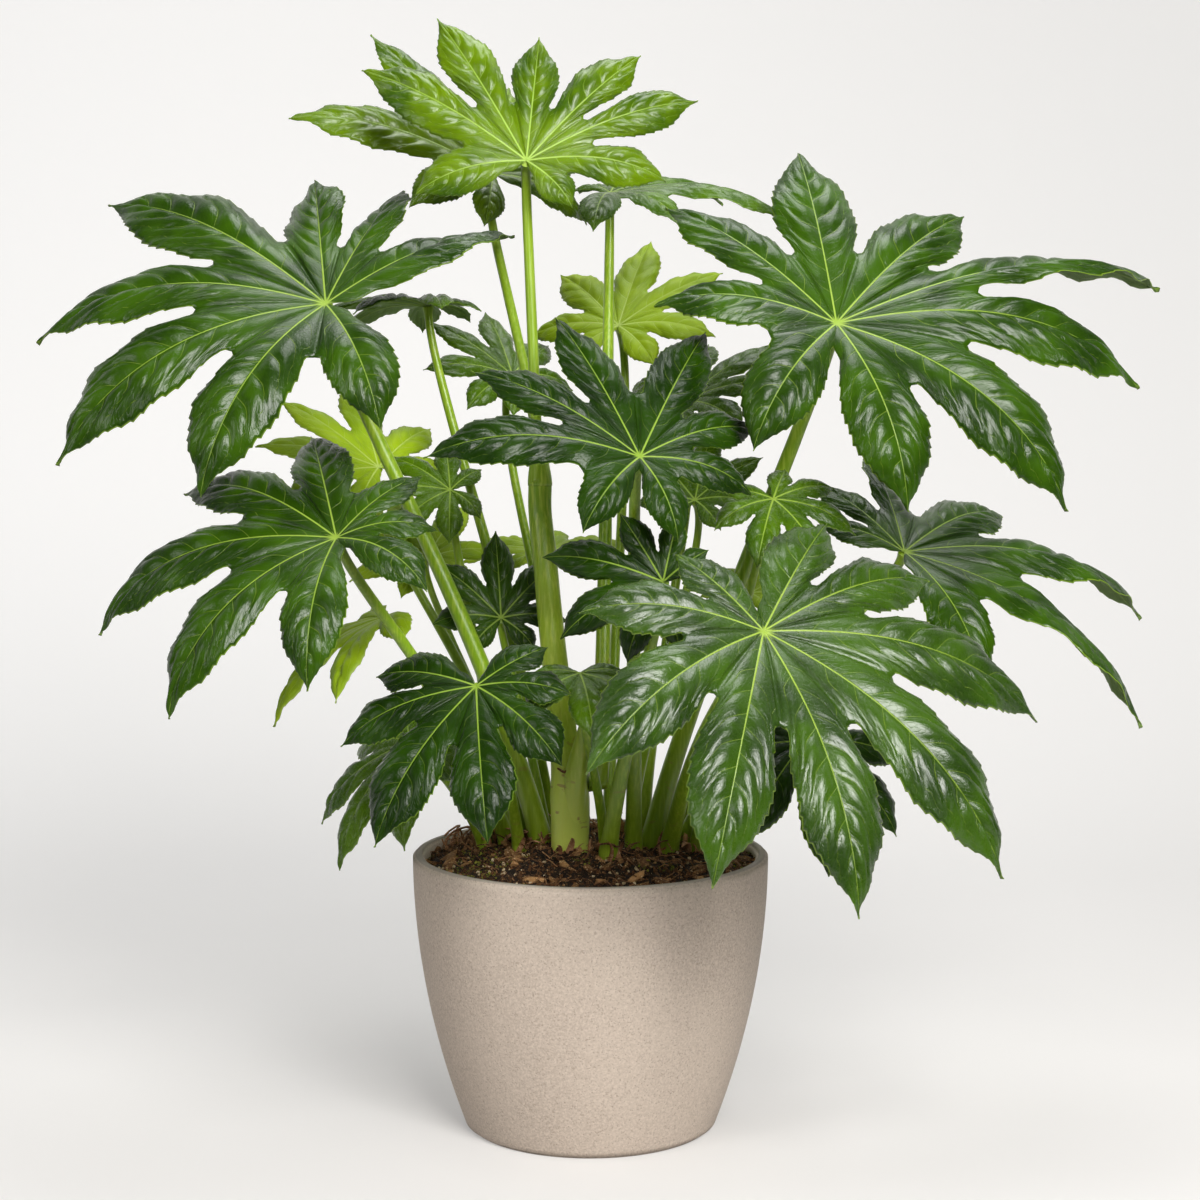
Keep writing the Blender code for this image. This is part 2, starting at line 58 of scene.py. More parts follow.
def add_object(name, data):
    """A new object at the origin."""
    made = bpy.data.objects.new(name, data)
    scene.collection.objects.link(made)
    return made


camera = add_object("camera", bpy.data.cameras.new("camera"))
camera.data.lens = 69
camera.data.sensor_width = 36
camera.location = (0.008, -1.92, 0.62)
camera.rotation_euler = (math.radians(84.8), 0, 0)
scene.camera = camera

SWEEP_WIDTH = 14.0
SWEEP_FRONT = -0.8
SWEEP_BACK = 2.6
SWEEP_BEND = 1.6
SWEEP_TOP = 6.0


def join(tree, kind, sockets=(), **settings):
    """Add a node and give its outputs. Each listed input gets a value, or a link from an output."""
    made = tree.nodes.new(kind)
    for name, value in settings.items():
        setattr(made, name, value)
    for socket, value in dict(sockets).items():
        if isinstance(value, bpy.types.NodeSocket):
            tree.links.new(value, made.inputs[socket])
        else:
            made.inputs[socket].default_value = value
    return made.outputs


def calc(operation, *values):
    """The output of one arithmetic node, in the tree that its inputs come from."""
    tree = next(value.id_data for value in values if isinstance(value, bpy.types.NodeSocket))
    return join(tree, "ShaderNodeMath", enumerate(values), operation=operation)[0]


def object_place(tree):
    """Object coordinates."""
    return join(tree, "ShaderNodeTexCoord")["Object"]


def ramp(value, low, high):
    """A mask that rises smoothly from 0 at low to 1 at high."""
    return join(value.id_data, "ShaderNodeMapRange", {0: value, 1: low, 2: high},
                interpolation_type="SMOOTHSTEP")[0]


def blend(share, first, second):
    """Two colours blended by a share."""
    return join(share.id_data, "ShaderNodeMix", {0: share, 6: first, 7: second},
                data_type="RGBA")[2]


def new_material(name, roughness=0.5, sheen=0.5):
    """A material with a Principled shader, whose even values are set on the shader itself."""
    made = bpy.data.materials.new(name)
    made.use_nodes = True
    shader = made.node_tree.nodes["Principled BSDF"]
    shader.inputs["Roughness"].default_value = roughness
    shader.inputs["Specular IOR Level"].default_value = sheen
    return made, made.node_tree, shader


def put_mesh(mesh, *finishes):
    """A smooth-shaded object at the origin, named as its mesh."""
    for finish in finishes:
        mesh.materials.append(finish)
    mesh.shade_smooth()
    return add_object(mesh.name, mesh)


def add_mesh(name, points, faces, *finishes):
    """An object made from a list of points and a list of faces."""
    mesh = bpy.data.meshes.new(name)
    mesh.from_pydata([tuple(point) for point in points], [], faces)
    return put_mesh(mesh, *finishes)


def sweep_outline():
    """Side view of the sweep, as distance back and height."""
    outline = [(SWEEP_FRONT, 0.0)]
    for turn in np.radians(range(0, 91, 6)):
        outline.append((SWEEP_BACK - SWEEP_BEND + SWEEP_BEND * math.sin(turn),
                        SWEEP_BEND - SWEEP_BEND * math.cos(turn)))
    return outline + [(SWEEP_BACK, SWEEP_TOP)]


sweep_points = [(side * SWEEP_WIDTH / 2, y, z) for y, z in sweep_outline() for side in (-1, 1)]
sweep_faces = [(2 * i, 2 * i + 1, 2 * i + 3, 2 * i + 2) for i in range(len(sweep_points) // 2 - 1)]
paper, tree, shader = new_material("pale_paper", roughness=0.9)
shader.inputs["Base Color"].default_value = (0.50, 0.49, 0.478, 1)
# The paper's glow for camera and mirror rays is painted light, stronger at the left and the back.
rays = join(tree, "ShaderNodeLightPath")
seen = calc("MAXIMUM", calc("MAXIMUM", rays["Is Camera Ray"], rays["Is Glossy Ray"]),
            rays["Is Transmission Ray"])
place = join(tree, "ShaderNodeSeparateXYZ", {0: object_place(tree)})
back = ramp(place[1], -0.3, 2.4)
left = blend(back, (0.348, 0.344, 0.338, 1), (0.61, 0.608, 0.603, 1))
right = blend(back, (0.25, 0.247, 0.243, 1), (0.50, 0.497, 0.490, 1))
glow = blend(ramp(place[0], -1.3, 1.2), left, right)
glow = blend(seen, (0, 0, 0, 1), glow)
tree.links.new(glow, shader.inputs["Emission Color"])
shader.inputs["Emission Strength"].default_value = 1.0
sweep = add_mesh("sweep", sweep_points, sweep_faces, paper)

world = bpy.data.worlds.new("studio")
world.use_nodes = True
sky = world.node_tree
rays = join(sky, "ShaderNodeLightPath")
toward = join(sky, "ShaderNodeSeparateXYZ", {0: join(sky, "ShaderNodeTexCoord")["Generated"]})
mirrored = calc("MAXIMUM", rays["Is Glossy Ray"], rays["Is Transmission Ray"])
mirrored = calc("MULTIPLY", mirrored, ramp(toward[1], -0.1, 0.5))
seen = calc("MAXIMUM", rays["Is Camera Ray"], mirrored)
glow = blend(seen, (0.085, 0.086, 0.087, 1), (0.84, 0.835, 0.825, 1))
sky.links.new(glow, sky.nodes["Background"].inputs["Color"])
scene.world = world


def soft_light(name, place, aim, width, height, watts, colour):
    """A rectangular softbox at a place, turned to face its aim."""
    lamp = add_object(name, bpy.data.lights.new(name, "AREA"))
    lamp.data.shape = "RECTANGLE"
    lamp.data.size = width
    lamp.data.size_y = height
    lamp.data.energy = watts
    lamp.data.color = colour
    lamp.location = place
    lamp.rotation_euler = (Vector(aim) - Vector(place)).to_track_quat("-Z", "Y").to_euler()


soft_light("key", (0.80, -2.05, 1.85), (0, 0, 0.45), 1.35, 1.35, 106, (1.0, 0.985, 0.965))
soft_light("top", (0.20, 0.40, 2.30), (0, 0, 0.5), 1.1, 1.0, 20, (1.0, 1.0, 1.0))
soft_light("fill", (-1.90, -1.70, 1.25), (0, 0, 0.4), 0.8, 1.3, 14, (1.0, 0.98, 0.96))

# ---------------------------------------------------------------------------------------------
# Planter: one piece of cast stoneware, turned to a plain round shape with a flat rim and a small
# foot. It is unglazed outside, with fine dark grains and pores, and its rim is rubbed smooth.

MM = 0.001
POT_WALL = 10 * MM
POT_FLOOR = 16 * MM
POT_ARRIS = 2.5 * MM
POT_FOOT = 106 * MM
POT_SIDES = 160
INSIDE_RINGS = 30
OUTSIDE_RINGS = 60
pot_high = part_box("pot")[1]
POT_RIM = pot_high[0]
POT_HEIGHT = pot_high[2]


def pot_radius(z):
    """Outside radius of the planter at a height."""
    return POT_RIM - (POT_RIM - POT_FOOT) * (1 - z / POT_HEIGHT) ** 2


def rounded(corner_in, corner_out, steps=5):
    """Points of a quarter-round arris between two ends, each given as (radius, height)."""
    (r0, z0), (r1, z1) = corner_in, corner_out
    turns = np.linspace(0, math.pi / 2, steps)
    return [(r0 + (r1 - r0) * math.sin(turn), z1 + (z0 - z1) * math.cos(turn)) for turn in turns]


def circle(radius, sides):
    """Even points of a circle, as x and y."""
    turns = [2 * math.pi * step / sides for step in range(sides)]
    return [(radius * math.cos(turn), radius * math.sin(turn)) for turn in turns]


def between_rings(first, rings, sides):
    """Faces that join a stack of closed rings of points. The number of its first point is given."""
    return [(at + step, at + sides + step, at + sides + (step + 1) % sides, at + (step + 1) % sides)
            for at in range(first, first + (rings - 1) * sides, sides) for step in range(sides)]


def fan(middle, first, sides):
    """Faces from a middle point to each side of a ring, both given by number."""
    return [(middle, first + step, first + (step + 1) % sides) for step in range(sides)]


def turn_outline(name, outline, sides, finish):
    """A solid turned about the Z axis. The outline starts and ends on the axis, top first."""
    points = [(0, 0, outline[0][1])]
    for radius, height in outline[1:-1]:
        points += [(x, y, height) for x, y in circle(radius, sides)]
    under = [face[::-1] for face in fan(len(points), len(points) - sides, sides)]
    points.append((0, 0, outline[-1][1]))
    faces = fan(0, 1, sides) + between_rings(1, len(outline) - 2, sides) + under
    return add_mesh(name, points, faces, finish)


def noise_in(place, scale, detail, roughness=0.5, distortion=0.0):
    """The outputs of a noise texture."""
    return join(place.id_data, "ShaderNodeTexNoise",
                {"Vector": place, "Scale": scale, "Detail": detail, "Roughness": roughness,
                 "Distortion": distortion})


def fall(value, low, high):
    """A mask that falls smoothly from 1 at low to 0 at high."""
    return calc("SUBTRACT", 1.0, ramp(value, low, high))


def add_relief(shader, strength, depth, height):
    """Fine relief that the light shows on a shader's surface."""
    bump = join(shader.id_data, "ShaderNodeBump",
                {"Strength": strength, "Distance": depth, "Height": height})[0]
    shader.id_data.links.new(bump, shader.inputs["Normal"])


stoneware, tree, shader = new_material("stoneware", roughness=0.7)
place = object_place(tree)
grain = noise_in(place, 520.0, 4.0, 0.65)[0]
cloud = noise_in(place, 9.0, 3.0)[0]
cells = join(tree, "ShaderNodeTexVoronoi", {0: place, 2: 330.0}, feature="F1")[0]
specks = noise_in(place, 430.0, 2.0, distortion=1.2)[0]
pores = fall(cells, 0.10, 0.28)
flecks = ramp(specks, 0.57, 0.68)
height = join(tree, "ShaderNodeSeparateXYZ", {0: place})[2]
rim_share = ramp(height, POT_HEIGHT - 1.4 * MM, POT_HEIGHT - 0.2 * MM)
body = blend(ramp(cloud, 0.3, 0.7), (0.460, 0.378, 0.310, 1), (0.525, 0.436, 0.360, 1))
body = blend(ramp(grain, 0.35, 0.7), body, (0.63, 0.535, 0.45, 1))
body = blend(calc("MULTIPLY", flecks, 0.42), body, (0.27, 0.21, 0.165, 1))
body = blend(calc("MULTIPLY", pores, 0.45), body, (0.24, 0.19, 0.15, 1))
body = blend(calc("MULTIPLY", rim_share, 0.70), body, (0.31, 0.275, 0.235, 1))
tree.links.new(body, shader.inputs["Base Color"])
relief = calc("SUBTRACT", calc("MULTIPLY", grain, 0.5), pores)
add_relief(shader, 0.30, 0.4 * MM, relief)
tree.links.new(calc("MULTIPLY_ADD", grain, 0.25, 0.58), shader.inputs["Roughness"])

inner_top = POT_HEIGHT - POT_ARRIS
inside = [(pot_radius(z) - POT_WALL, z) for z in np.linspace(POT_FLOOR, inner_top, INSIDE_RINGS)]
outside = [(pot_radius(z), z) for z in np.linspace(inner_top, POT_ARRIS, OUTSIDE_RINGS)]
rim = (rounded(inside[-1], (POT_RIM - POT_WALL + POT_ARRIS, POT_HEIGHT))[1:]
       + rounded(outside[0], (POT_RIM - POT_ARRIS, POT_HEIGHT))[:0:-1])
foot = rounded(outside[-1], (POT_FOOT - POT_ARRIS, 0.0))[1:]
outline = [(0, POT_FLOOR)] + inside + rim + outside + foot + [(0, 0)]
pot = turn_outline("planter", outline, POT_SIDES, stoneware)
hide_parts("pot")
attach(pot, "root")

# ---------------------------------------------------------------------------------------------
# Potting mix: dark damp peat filled to just under the rim and mounded round the stems. Bits of
# bark, pale grit, root fibres and a little moss lie loose on top of it.

SOIL_EDGE = 224 * MM
SOIL_MOUND = 20 * MM
GAP = 0.3 * MM
soil_low, soil_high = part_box("soil")
soil_radius = soil_high[0]


def soil_height(x, y):
    """Height of the soil's even surface."""
    share = min(1.0, math.hypot(x, y) / (pot_radius(SOIL_EDGE) - POT_WALL - GAP))
    return SOIL_EDGE + SOIL_MOUND * (1 - share * share)


def rough_soil(x, y):
    """Height of the soil with its lumps and crumbs."""
    lumps = noise.noise((34 * x, 34 * y, 0.3)) * 3.6 + noise.noise((95 * x, 95 * y, 1.7)) * 2.4
    crumbs = noise.noise((240 * x, 240 * y, 5.1)) * 1.3 + noise.noise((560 * x, 560 * y, 8.2)) * 0.6
    return soil_height(x, y) - 1.5 * MM + (lumps + crumbs) * MM


def disc(rings, sides, radius, height):
    """Points and faces of a round surface, ring by ring from its middle."""
    points = [(0, 0, height(0, 0))]
    for ring in range(1, rings + 1):
        points += [(x, y, height(x, y)) for x, y in circle(radius * ring / rings, sides)]
    return points, fan(0, 1, sides) + between_rings(1, rings, sides)


DULL = 0.25


def kept(tree, name):
    """A value that the mesh keeps under a name."""
    return join(tree, "ShaderNodeAttribute", attribute_name=name)["Fac"]


def earthy(name, dark, light, speck, roughness=0.8):
    """A dull crumbly finish; loose bits also differ from each other by their own tint."""
    made, tree, shader = new_material(name, roughness, DULL)
    place = object_place(tree)
    tint = kept(tree, "tint")
    clods = noise_in(place, 210.0, 4.0, 0.7)[0]
    specks = noise_in(place, 620.0, 2.0)[0]
    share = calc("MULTIPLY", calc("POWER", tint, 2.2), 0.8)
    share = calc("MULTIPLY_ADD", ramp(clods, 0.42, 0.68), 0.40, share)
    colour = blend(share, dark, light)
    colour = blend(ramp(specks, 0.60, 0.72), colour, speck)
    tree.links.new(colour, shader.inputs["Base Color"])
    add_relief(shader, 0.8, 0.8 * MM, calc("ADD", clods, specks))
    return made


SOIL_SIDES = 200
SOIL_TOP_RINGS = 60
SOIL_WALL_RINGS = 12
peat = earthy("potting_mix", (0.008, 0.0040, 0.0020, 1), (0.055, 0.026, 0.011, 1),
              (0.26, 0.14, 0.060, 1), 0.9)
points, faces = disc(SOIL_TOP_RINGS, SOIL_SIDES, soil_radius, rough_soil)
soil_top = bpy.data.meshes.new("soil_top")
soil_top.from_pydata(points, [], faces)
faces += between_rings(len(points) - SOIL_SIDES, SOIL_WALL_RINGS + 1, SOIL_SIDES)
for height in np.linspace(SOIL_EDGE - 12 * MM, soil_low[2], SOIL_WALL_RINGS):
    inner = pot_radius(height) - POT_WALL - 2 * GAP
    points += [(x, y, height) for x, y in circle(inner, SOIL_SIDES)]
faces.append([len(points) - 1 - step for step in range(SOIL_SIDES)])
soil = add_mesh("soil_fill", points, faces, peat)
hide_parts("soil")
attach(soil, "root")

SHAPE = {"Geometry": "Geometry"}
# How bits are strewn: how many to a square metre and how bare the patches between them, their size
# from least to most, how long and flat each one is, how far it tips over, and what it is made of.
STREWN = {"Density": "Float", "Bare": "Float", "Seed": "Int", "Least": "Float", "Most": "Float",
          "Long": "Float", "Flat": "Float", "Tilt": "Float", "Finish": "Material"}


def group_tree(name, kind, inputs, outputs):
    """An empty node group with named sockets, its input node's outputs and its output node."""
    tree = bpy.data.node_groups.new(name, kind)
    for side, sockets in (("INPUT", inputs), ("OUTPUT", outputs)):
        for socket, sort in sockets.items():
            tree.interface.new_socket(name=socket, in_out=side, socket_type="NodeSocket" + sort)
    return tree, tree.nodes.new("NodeGroupInput").outputs, tree.nodes.new("NodeGroupOutput").inputs


def run_tree(name, base, tree, values):
    """A plain mesh object from a base mesh and a geometry tree with the given input values."""
    made = add_object(name, base)
    grown = made.modifiers.new("shape", "NODES")
    grown.node_group = tree
    for socket in tree.interface.items_tree:
        if socket.name in values:
            grown[socket.identifier] = values[socket.name]
    bpy.context.view_layer.update()
    result = made.evaluated_get(bpy.context.evaluated_depsgraph_get())
    mesh = bpy.data.meshes.new_from_object(result)
    made.modifiers.clear()
    made.data = mesh
    mesh.name = name
    return made


def scaled(vector, factor):
    """A vector made longer or shorter."""
    return join(vector.id_data, "ShaderNodeVectorMath", {0: vector, "Scale": factor},
                operation="SCALE")[0]


def stray(tree, scale):
    """A small wandering offset that changes from place to place."""
    spot = join(tree, "GeometryNodeInputPosition")[0]
    return join(tree, "ShaderNodeVectorMath",
                {0: noise_in(spot, scale, 1.0)["Color"], 1: (0.5, 0.5, 0.5)},
                operation="SUBTRACT")[0]


def keep(grown, name, value, domain):
    """Keep a value on each point or instance under a name."""
    return join(grown.id_data, "GeometryNodeStoreNamedAttribute",
                {0: grown, "Name": name, "Value": value}, data_type="FLOAT", domain=domain)[0]


def put_out(grown, finish, result):
    """Make the grown bits one mesh of one finish, and hand it out of the tree."""
    tree = grown.id_data
    grown = join(tree, "GeometryNodeRealizeInstances", {0: grown})[0]
    grown = join(tree, "GeometryNodeSetMaterial", {"Geometry": grown, "Material": finish})[0]
    tree.links.new(grown, result[0])


def lump(tree, fineness):
    """A small irregular stone or crumb of about unit radius."""
    ball = join(tree, "GeometryNodeMeshIcoSphere", {"Radius": 1.0, "Subdivisions": fineness})[0]
    shift = scaled(stray(tree, 1.3), 1.7)
    return join(tree, "GeometryNodeSetPosition", {"Geometry": ball, "Offset": shift})[0]


def fibre(tree, fineness):
    """A thin bent root fibre, two units long."""
    arc = join(tree, "GeometryNodeCurveArc",
               {"Resolution": fineness, "Radius": 0.9, "Start Angle": 0.4, "Sweep Angle": 2.4})[0]
    arc = join(tree, "GeometryNodeSetPosition", {"Geometry": arc, "Offset": stray(tree, 1.6)})[0]
    ring = join(tree, "GeometryNodeCurvePrimitiveCircle", {"Resolution": 4, "Radius": 1.0})[0]
    return join(tree, "GeometryNodeCurveToMesh",
                {"Curve": arc, "Profile Curve": ring, "Scale": 0.055, "Fill Caps": True})[0]


def scatter_tree(name, piece, fineness):
    """Geometry nodes that strew one kind of bit over a surface, each turned, sized and tinted."""
    tree, given, result = group_tree(name, "GeometryNodeTree", {**SHAPE, **STREWN}, SHAPE)
    spot = join(tree, "GeometryNodeInputPosition")[0]
    patch = noise_in(spot, 17.0, 1.0)[0]
    grown = join(tree, "FunctionNodeCompare", {0: patch, 1: given["Bare"]},
                 data_type="FLOAT", operation="GREATER_THAN")[0]
    strewn = join(tree, "GeometryNodeDistributePointsOnFaces",
                  {"Mesh": given["Geometry"], "Selection": grown, "Density": given["Density"],
                   "Seed": given["Seed"]})[0]
    tilt = given["Tilt"]
    back = calc("MULTIPLY", tilt, -1.0)
    low = join(tree, "ShaderNodeCombineXYZ", {0: back, 1: back, 2: 0.0})[0]
    high = join(tree, "ShaderNodeCombineXYZ", {0: tilt, 1: tilt, 2: 2 * math.pi})[0]
    turn = join(tree, "FunctionNodeRandomValue", {0: low, 1: high, "Seed": 3},
                data_type="FLOAT_VECTOR")[0]
    size = join(tree, "FunctionNodeRandomValue", {2: given["Least"], 3: given["Most"], "Seed": 5},
                data_type="FLOAT")[1]
    shape = join(tree, "ShaderNodeCombineXYZ", {0: given["Long"], 1: 1.0, 2: given["Flat"]})[0]
    bits = join(tree, "GeometryNodeInstanceOnPoints",
                {"Points": strewn, "Instance": piece(tree, fineness), "Rotation": turn,
                 "Scale": scaled(shape, size)})[0]
    tint = join(tree, "FunctionNodeRandomValue", {2: 0.0, 3: 1.0, "Seed": 9}, data_type="FLOAT")[1]
    put_out(keep(bits, "tint", tint, "INSTANCE"), given["Finish"], result)
    return tree


crumb_tree = scatter_tree("strew crumbs", lump, 1)
fibre_tree = scatter_tree("strew fibres", fibre, 9)
humus = earthy("humus_crumb", (0.010, 0.0052, 0.0026, 1), (0.16, 0.070, 0.026, 1),
               (0.36, 0.20, 0.085, 1), 0.9)
bark = earthy("bark_chip", (0.090, 0.038, 0.014, 1), (0.56, 0.30, 0.12, 1), (0.72, 0.49, 0.26, 1))
grit = earthy("pale_grit", (0.42, 0.30, 0.16, 1), (0.74, 0.60, 0.40, 1), (0.78, 0.68, 0.52, 1))
root = earthy("root_fibre", (0.090, 0.040, 0.018, 1), (0.46, 0.23, 0.10, 1), (0.55, 0.32, 0.16, 1))
moss = earthy("moss", (0.050, 0.060, 0.008, 1), (0.30, 0.29, 0.035, 1), (0.46, 0.43, 0.09, 1), 0.85)
LOOSE = [
    ("crumbs", crumb_tree, (52000.0, 0.0, 1, 0.7 * MM, 2.1 * MM, 1.3, 0.8, 1.2, humus)),
    ("chips", crumb_tree, (3600.0, 0.0, 2, 1.5 * MM, 6.0 * MM, 1.9, 0.55, 0.6, bark)),
    ("grit", crumb_tree, (6500.0, 0.0, 4, 0.6 * MM, 2.0 * MM, 1.1, 0.9, 1.5, grit)),
    ("fibres", fibre_tree, (8000.0, 0.0, 6, 3.5 * MM, 9.0 * MM, 1.4, 1.0, 0.7, root)),
    ("moss", crumb_tree, (60000.0, 0.53, 8, 0.5 * MM, 1.4 * MM, 1.2, 0.8, 1.5, moss))]
for name, tree, values in LOOSE:
    bits = run_tree("loose_" + name, soil_top, tree, dict(zip(STREWN, values)))
    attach(bits, "root")

# ---------------------------------------------------------------------------------------------
# Cane: the plant's thick green main stem, grown straight up from the soil. A short side shoot and
# corky scars mark its foot. At its top a sheath of old leaf bases closes round two crown leaves.

SOCKET_DEPTH = 12 * MM
CANE_RINGS = 10
CANE_ROUTE = [(-17, -38, 0), (-17, -37, 42), (-21, -33, 82), (-30, -20, 158), (-38, -8, 237),
              (-42, 0, 277), (-42, 0, 302)]
CANE_RADII = (15.5, 16.5, 12.0, 10.8, 10.2, 9.8, 9.8)
CANE_STEPS = 90
CANE_SIDES = 40
KNEE = 11 * MM
KNEE_RING = 3
KNEE_AIM = np.array([1.0, 0.25, 0.0])
TOP_SPREAD = np.array([0.35, 1.0, 0.0])
CANE_SEATS = ("cane_front", "cane_rear", "cane_side")
UP = np.array([0.0, 0.0, 1.0])


def unit(vector):
    """The vector at length one."""
    return vector / np.linalg.norm(vector, axis=-1, keepdims=True)


def smooth_route(points, radii, count):
    """Even samples of a smooth curve through given points, with the radius beside each."""
    points = np.array(points, float)
    knots = np.arange(len(points))
    slopes = np.gradient(points, axis=0)
    place = np.linspace(0, len(points) - 1, count)
    start = np.minimum(place.astype(int), len(points) - 2)
    t = (place - start)[:, None]
    near, far = points[start], points[start + 1]
    samples = ((2 * t ** 3 - 3 * t ** 2 + 1) * near + (t ** 3 - 2 * t ** 2 + t) * slopes[start]
               + (3 * t ** 2 - 2 * t ** 3) * far + (t ** 3 - t ** 2) * slopes[start + 1])
    return samples, np.interp(place, knots, radii)


def cane_route(count):
    """The cane's centre line and radii, rooted in the soil."""
    floor = soil_height(CANE_ROUTE[0][0] * MM, CANE_ROUTE[0][1] * MM)
    points = [np.array(point) * MM + floor * UP for point in CANE_ROUTE]
    points.insert(0, points[0] - (SOCKET_DEPTH - GAP) * UP)
    return smooth_route(points, [radius * MM for radius in CANE_RADII[:1] + CANE_RADII], count)


def stem_tree():
    """Geometry nodes that skin a chain of points as a softly fluted stem."""
    inputs = {"Sides": "Int", "Flute": "Float", "Grain": "Float", "Skin": "Material"}
    tree, given, result = group_tree("stem along its path", "GeometryNodeTree",
                                     {**SHAPE, **inputs}, SHAPE)
    path = join(tree, "GeometryNodeMeshToCurve", {0: given[0]})[0]
    girth = join(tree, "GeometryNodeInputNamedAttribute", {"Name": "girth"}, data_type="FLOAT")[0]
    along = join(tree, "GeometryNodeSplineParameter")["Factor"]
    ring = join(tree, "GeometryNodeCurvePrimitiveCircle",
                {"Resolution": given["Sides"], "Radius": 1.0})[0]
    skin = join(tree, "GeometryNodeCurveToMesh",
                {"Curve": keep(path, "along", along, "POINT"), "Profile Curve": ring,
                 "Scale": girth, "Fill Caps": True})[0]
    spot = join(tree, "GeometryNodeInputPosition")[0]
    stretched = join(tree, "ShaderNodeVectorMath", {0: spot, 1: (1.0, 1.0, 0.18)},
                     operation="MULTIPLY")[0]
    lumps = noise_in(stretched, given["Grain"], 2.0)[0]
    push = calc("MULTIPLY", calc("SUBTRACT", lumps, 0.5), given["Flute"])
    offset = scaled(join(tree, "GeometryNodeInputNormal")[0], push)
    shaped = join(tree, "GeometryNodeSetPosition", {"Geometry": skin, "Offset": offset})[0]
    shaped = join(tree, "GeometryNodeSetShadeSmooth", {"Geometry": shaped})[0]
    put_out(shaped, given["Skin"], result)
    return tree


def path_mesh(name, points, girths):
    """A chain of points and edges, with the stem's girth kept on each point."""
    mesh = bpy.data.meshes.new(name)
    mesh.from_pydata([tuple(point) for point in points],
                     [(i, i + 1) for i in range(len(points) - 1)], [])
    mesh.attributes.new("girth", "FLOAT", "POINT").data.foreach_set("value", girths)
    return mesh


STEM_SKIN = {"Foot": "Color", "Middle": "Color", "Top": "Color", "Streak": "Color",
             "Scars": "Float"}
SKIN_OUT = {"Colour": "Color", "Roughness": "Float", "Height": "Float"}


def stem_skin_group():
    """Skin of a stem: its colour changes from foot to top, with fine streaks and corky scars."""
    tree, given, result = group_tree("stem skin", "ShaderNodeTree", STEM_SKIN, SKIN_OUT)
    along = kept(tree, "along")
    place = object_place(tree)
    drawn = join(tree, "ShaderNodeMapping", {"Vector": place, "Scale": (1, 1, 0.07)})[0]
    streaks = noise_in(drawn, 520.0, 3.0)[0]
    cloud = noise_in(place, 38.0, 3.0)[0]
    colour = blend(ramp(along, 0.02, 0.45), given["Foot"], given["Middle"])
    colour = blend(ramp(along, 0.45, 1.0), colour, given["Top"])
    share = calc("MULTIPLY", ramp(streaks, 0.42, 0.72), 0.50)
    colour = blend(share, colour, given["Streak"])
    dark = calc("MULTIPLY", ramp(cloud, 0.50, 0.75), 0.28)
    colour = blend(dark, colour, given["Middle"])
    squat = join(tree, "ShaderNodeMapping", {"Vector": place, "Scale": (1, 1, 2.2)})[0]
    corky = noise_in(squat, 62.0, 3.0, distortion=0.6)[0]
    scarred = calc("MULTIPLY", ramp(corky, 0.63, 0.68), given["Scars"])
    scarred = calc("MULTIPLY", scarred, fall(along, 0.20, 0.45))
    colour = blend(scarred, colour, (0.30, 0.17, 0.055, 1))
    tree.links.new(colour, result["Colour"])
    tree.links.new(calc("MULTIPLY_ADD", streaks, 0.22, 0.24), result["Roughness"])
    tree.links.new(streaks, result["Height"])
    return tree


def dress(name, group, values, depth, sheen=0.5):
    """A material whose colour, roughness and fine relief come from a skin group."""
    made, tree, shader = new_material(name, sheen=sheen)
    skin = tree.nodes.new("ShaderNodeGroup")
    skin.node_tree = group
    for socket, value in values.items():
        skin.inputs[socket].default_value = value
    tree.links.new(skin.outputs["Colour"], shader.inputs["Base Color"])
    tree.links.new(skin.outputs["Roughness"], shader.inputs["Roughness"])
    add_relief(shader, 1.0, depth, skin.outputs["Height"])
    return made


def stem_finish(name, depth, *values):
    """A stem's skin: the colours of its foot, middle, top and streaks, and how scarred it is."""
    return dress(name, stem_skin, dict(zip(STEM_SKIN, values)), depth)


stem_nodes = stem_tree()
stem_skin = stem_skin_group()
cane_skin = stem_finish("cane_skin", 0.25 * MM, (0.62, 0.72, 0.125, 1), (0.37, 0.51, 0.030, 1),
                        (0.18, 0.32, 0.010, 1), (0.60, 0.67, 0.11, 1), 0.7)
route, widths = cane_route(CANE_STEPS)
cane = run_tree("main_cane", path_mesh("main_cane", route, widths), stem_nodes,
                {"Sides": CANE_SIDES, "Flute": 1.4 * MM, "Grain": 60.0, "Skin": cane_skin})
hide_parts("cane")
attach(cane, "root")

SHOOT_STEPS = 40
SHOOT = [(-15, -42, 20), (-12, -48, 62), (-5, -58, 98), (-1, -70, 124), (-3, -80, 142)]
SHOOT_RADII = (11.0, 9.6, 6.2, 4.4, 3.4)
SCAR = [(-27, -46, 68), (-20, -51, 66), (-13, -54, 76), (-8, -54, 84), (-7, -49, 94)]
SCAR_RADII = (0.8, 1.3, 1.8, 1.4, 0.7)
ground = soil_height(CANE_ROUTE[0][0] * MM, CANE_ROUTE[0][1] * MM) * UP
cork = earthy("corky_scar", (0.12, 0.055, 0.018, 1), (0.42, 0.24, 0.085, 1),
              (0.50, 0.32, 0.13, 1), 0.7)
for name, places, radii, sides, skin in (("side_shoot", SHOOT, SHOOT_RADII, 28, cane_skin),
                                         ("fork_scar", SCAR, SCAR_RADII, 10, cork)):
    centres, girths = smooth_route([np.array(point) * MM + ground for point in places],
                                   [radius * MM for radius in radii], SHOOT_STEPS)
    grown = run_tree(name, path_mesh(name, centres, girths), stem_nodes,
                     {"Sides": sides, "Flute": 0.5 * MM, "Grain": 90.0, "Skin": skin})
    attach(grown, "root")

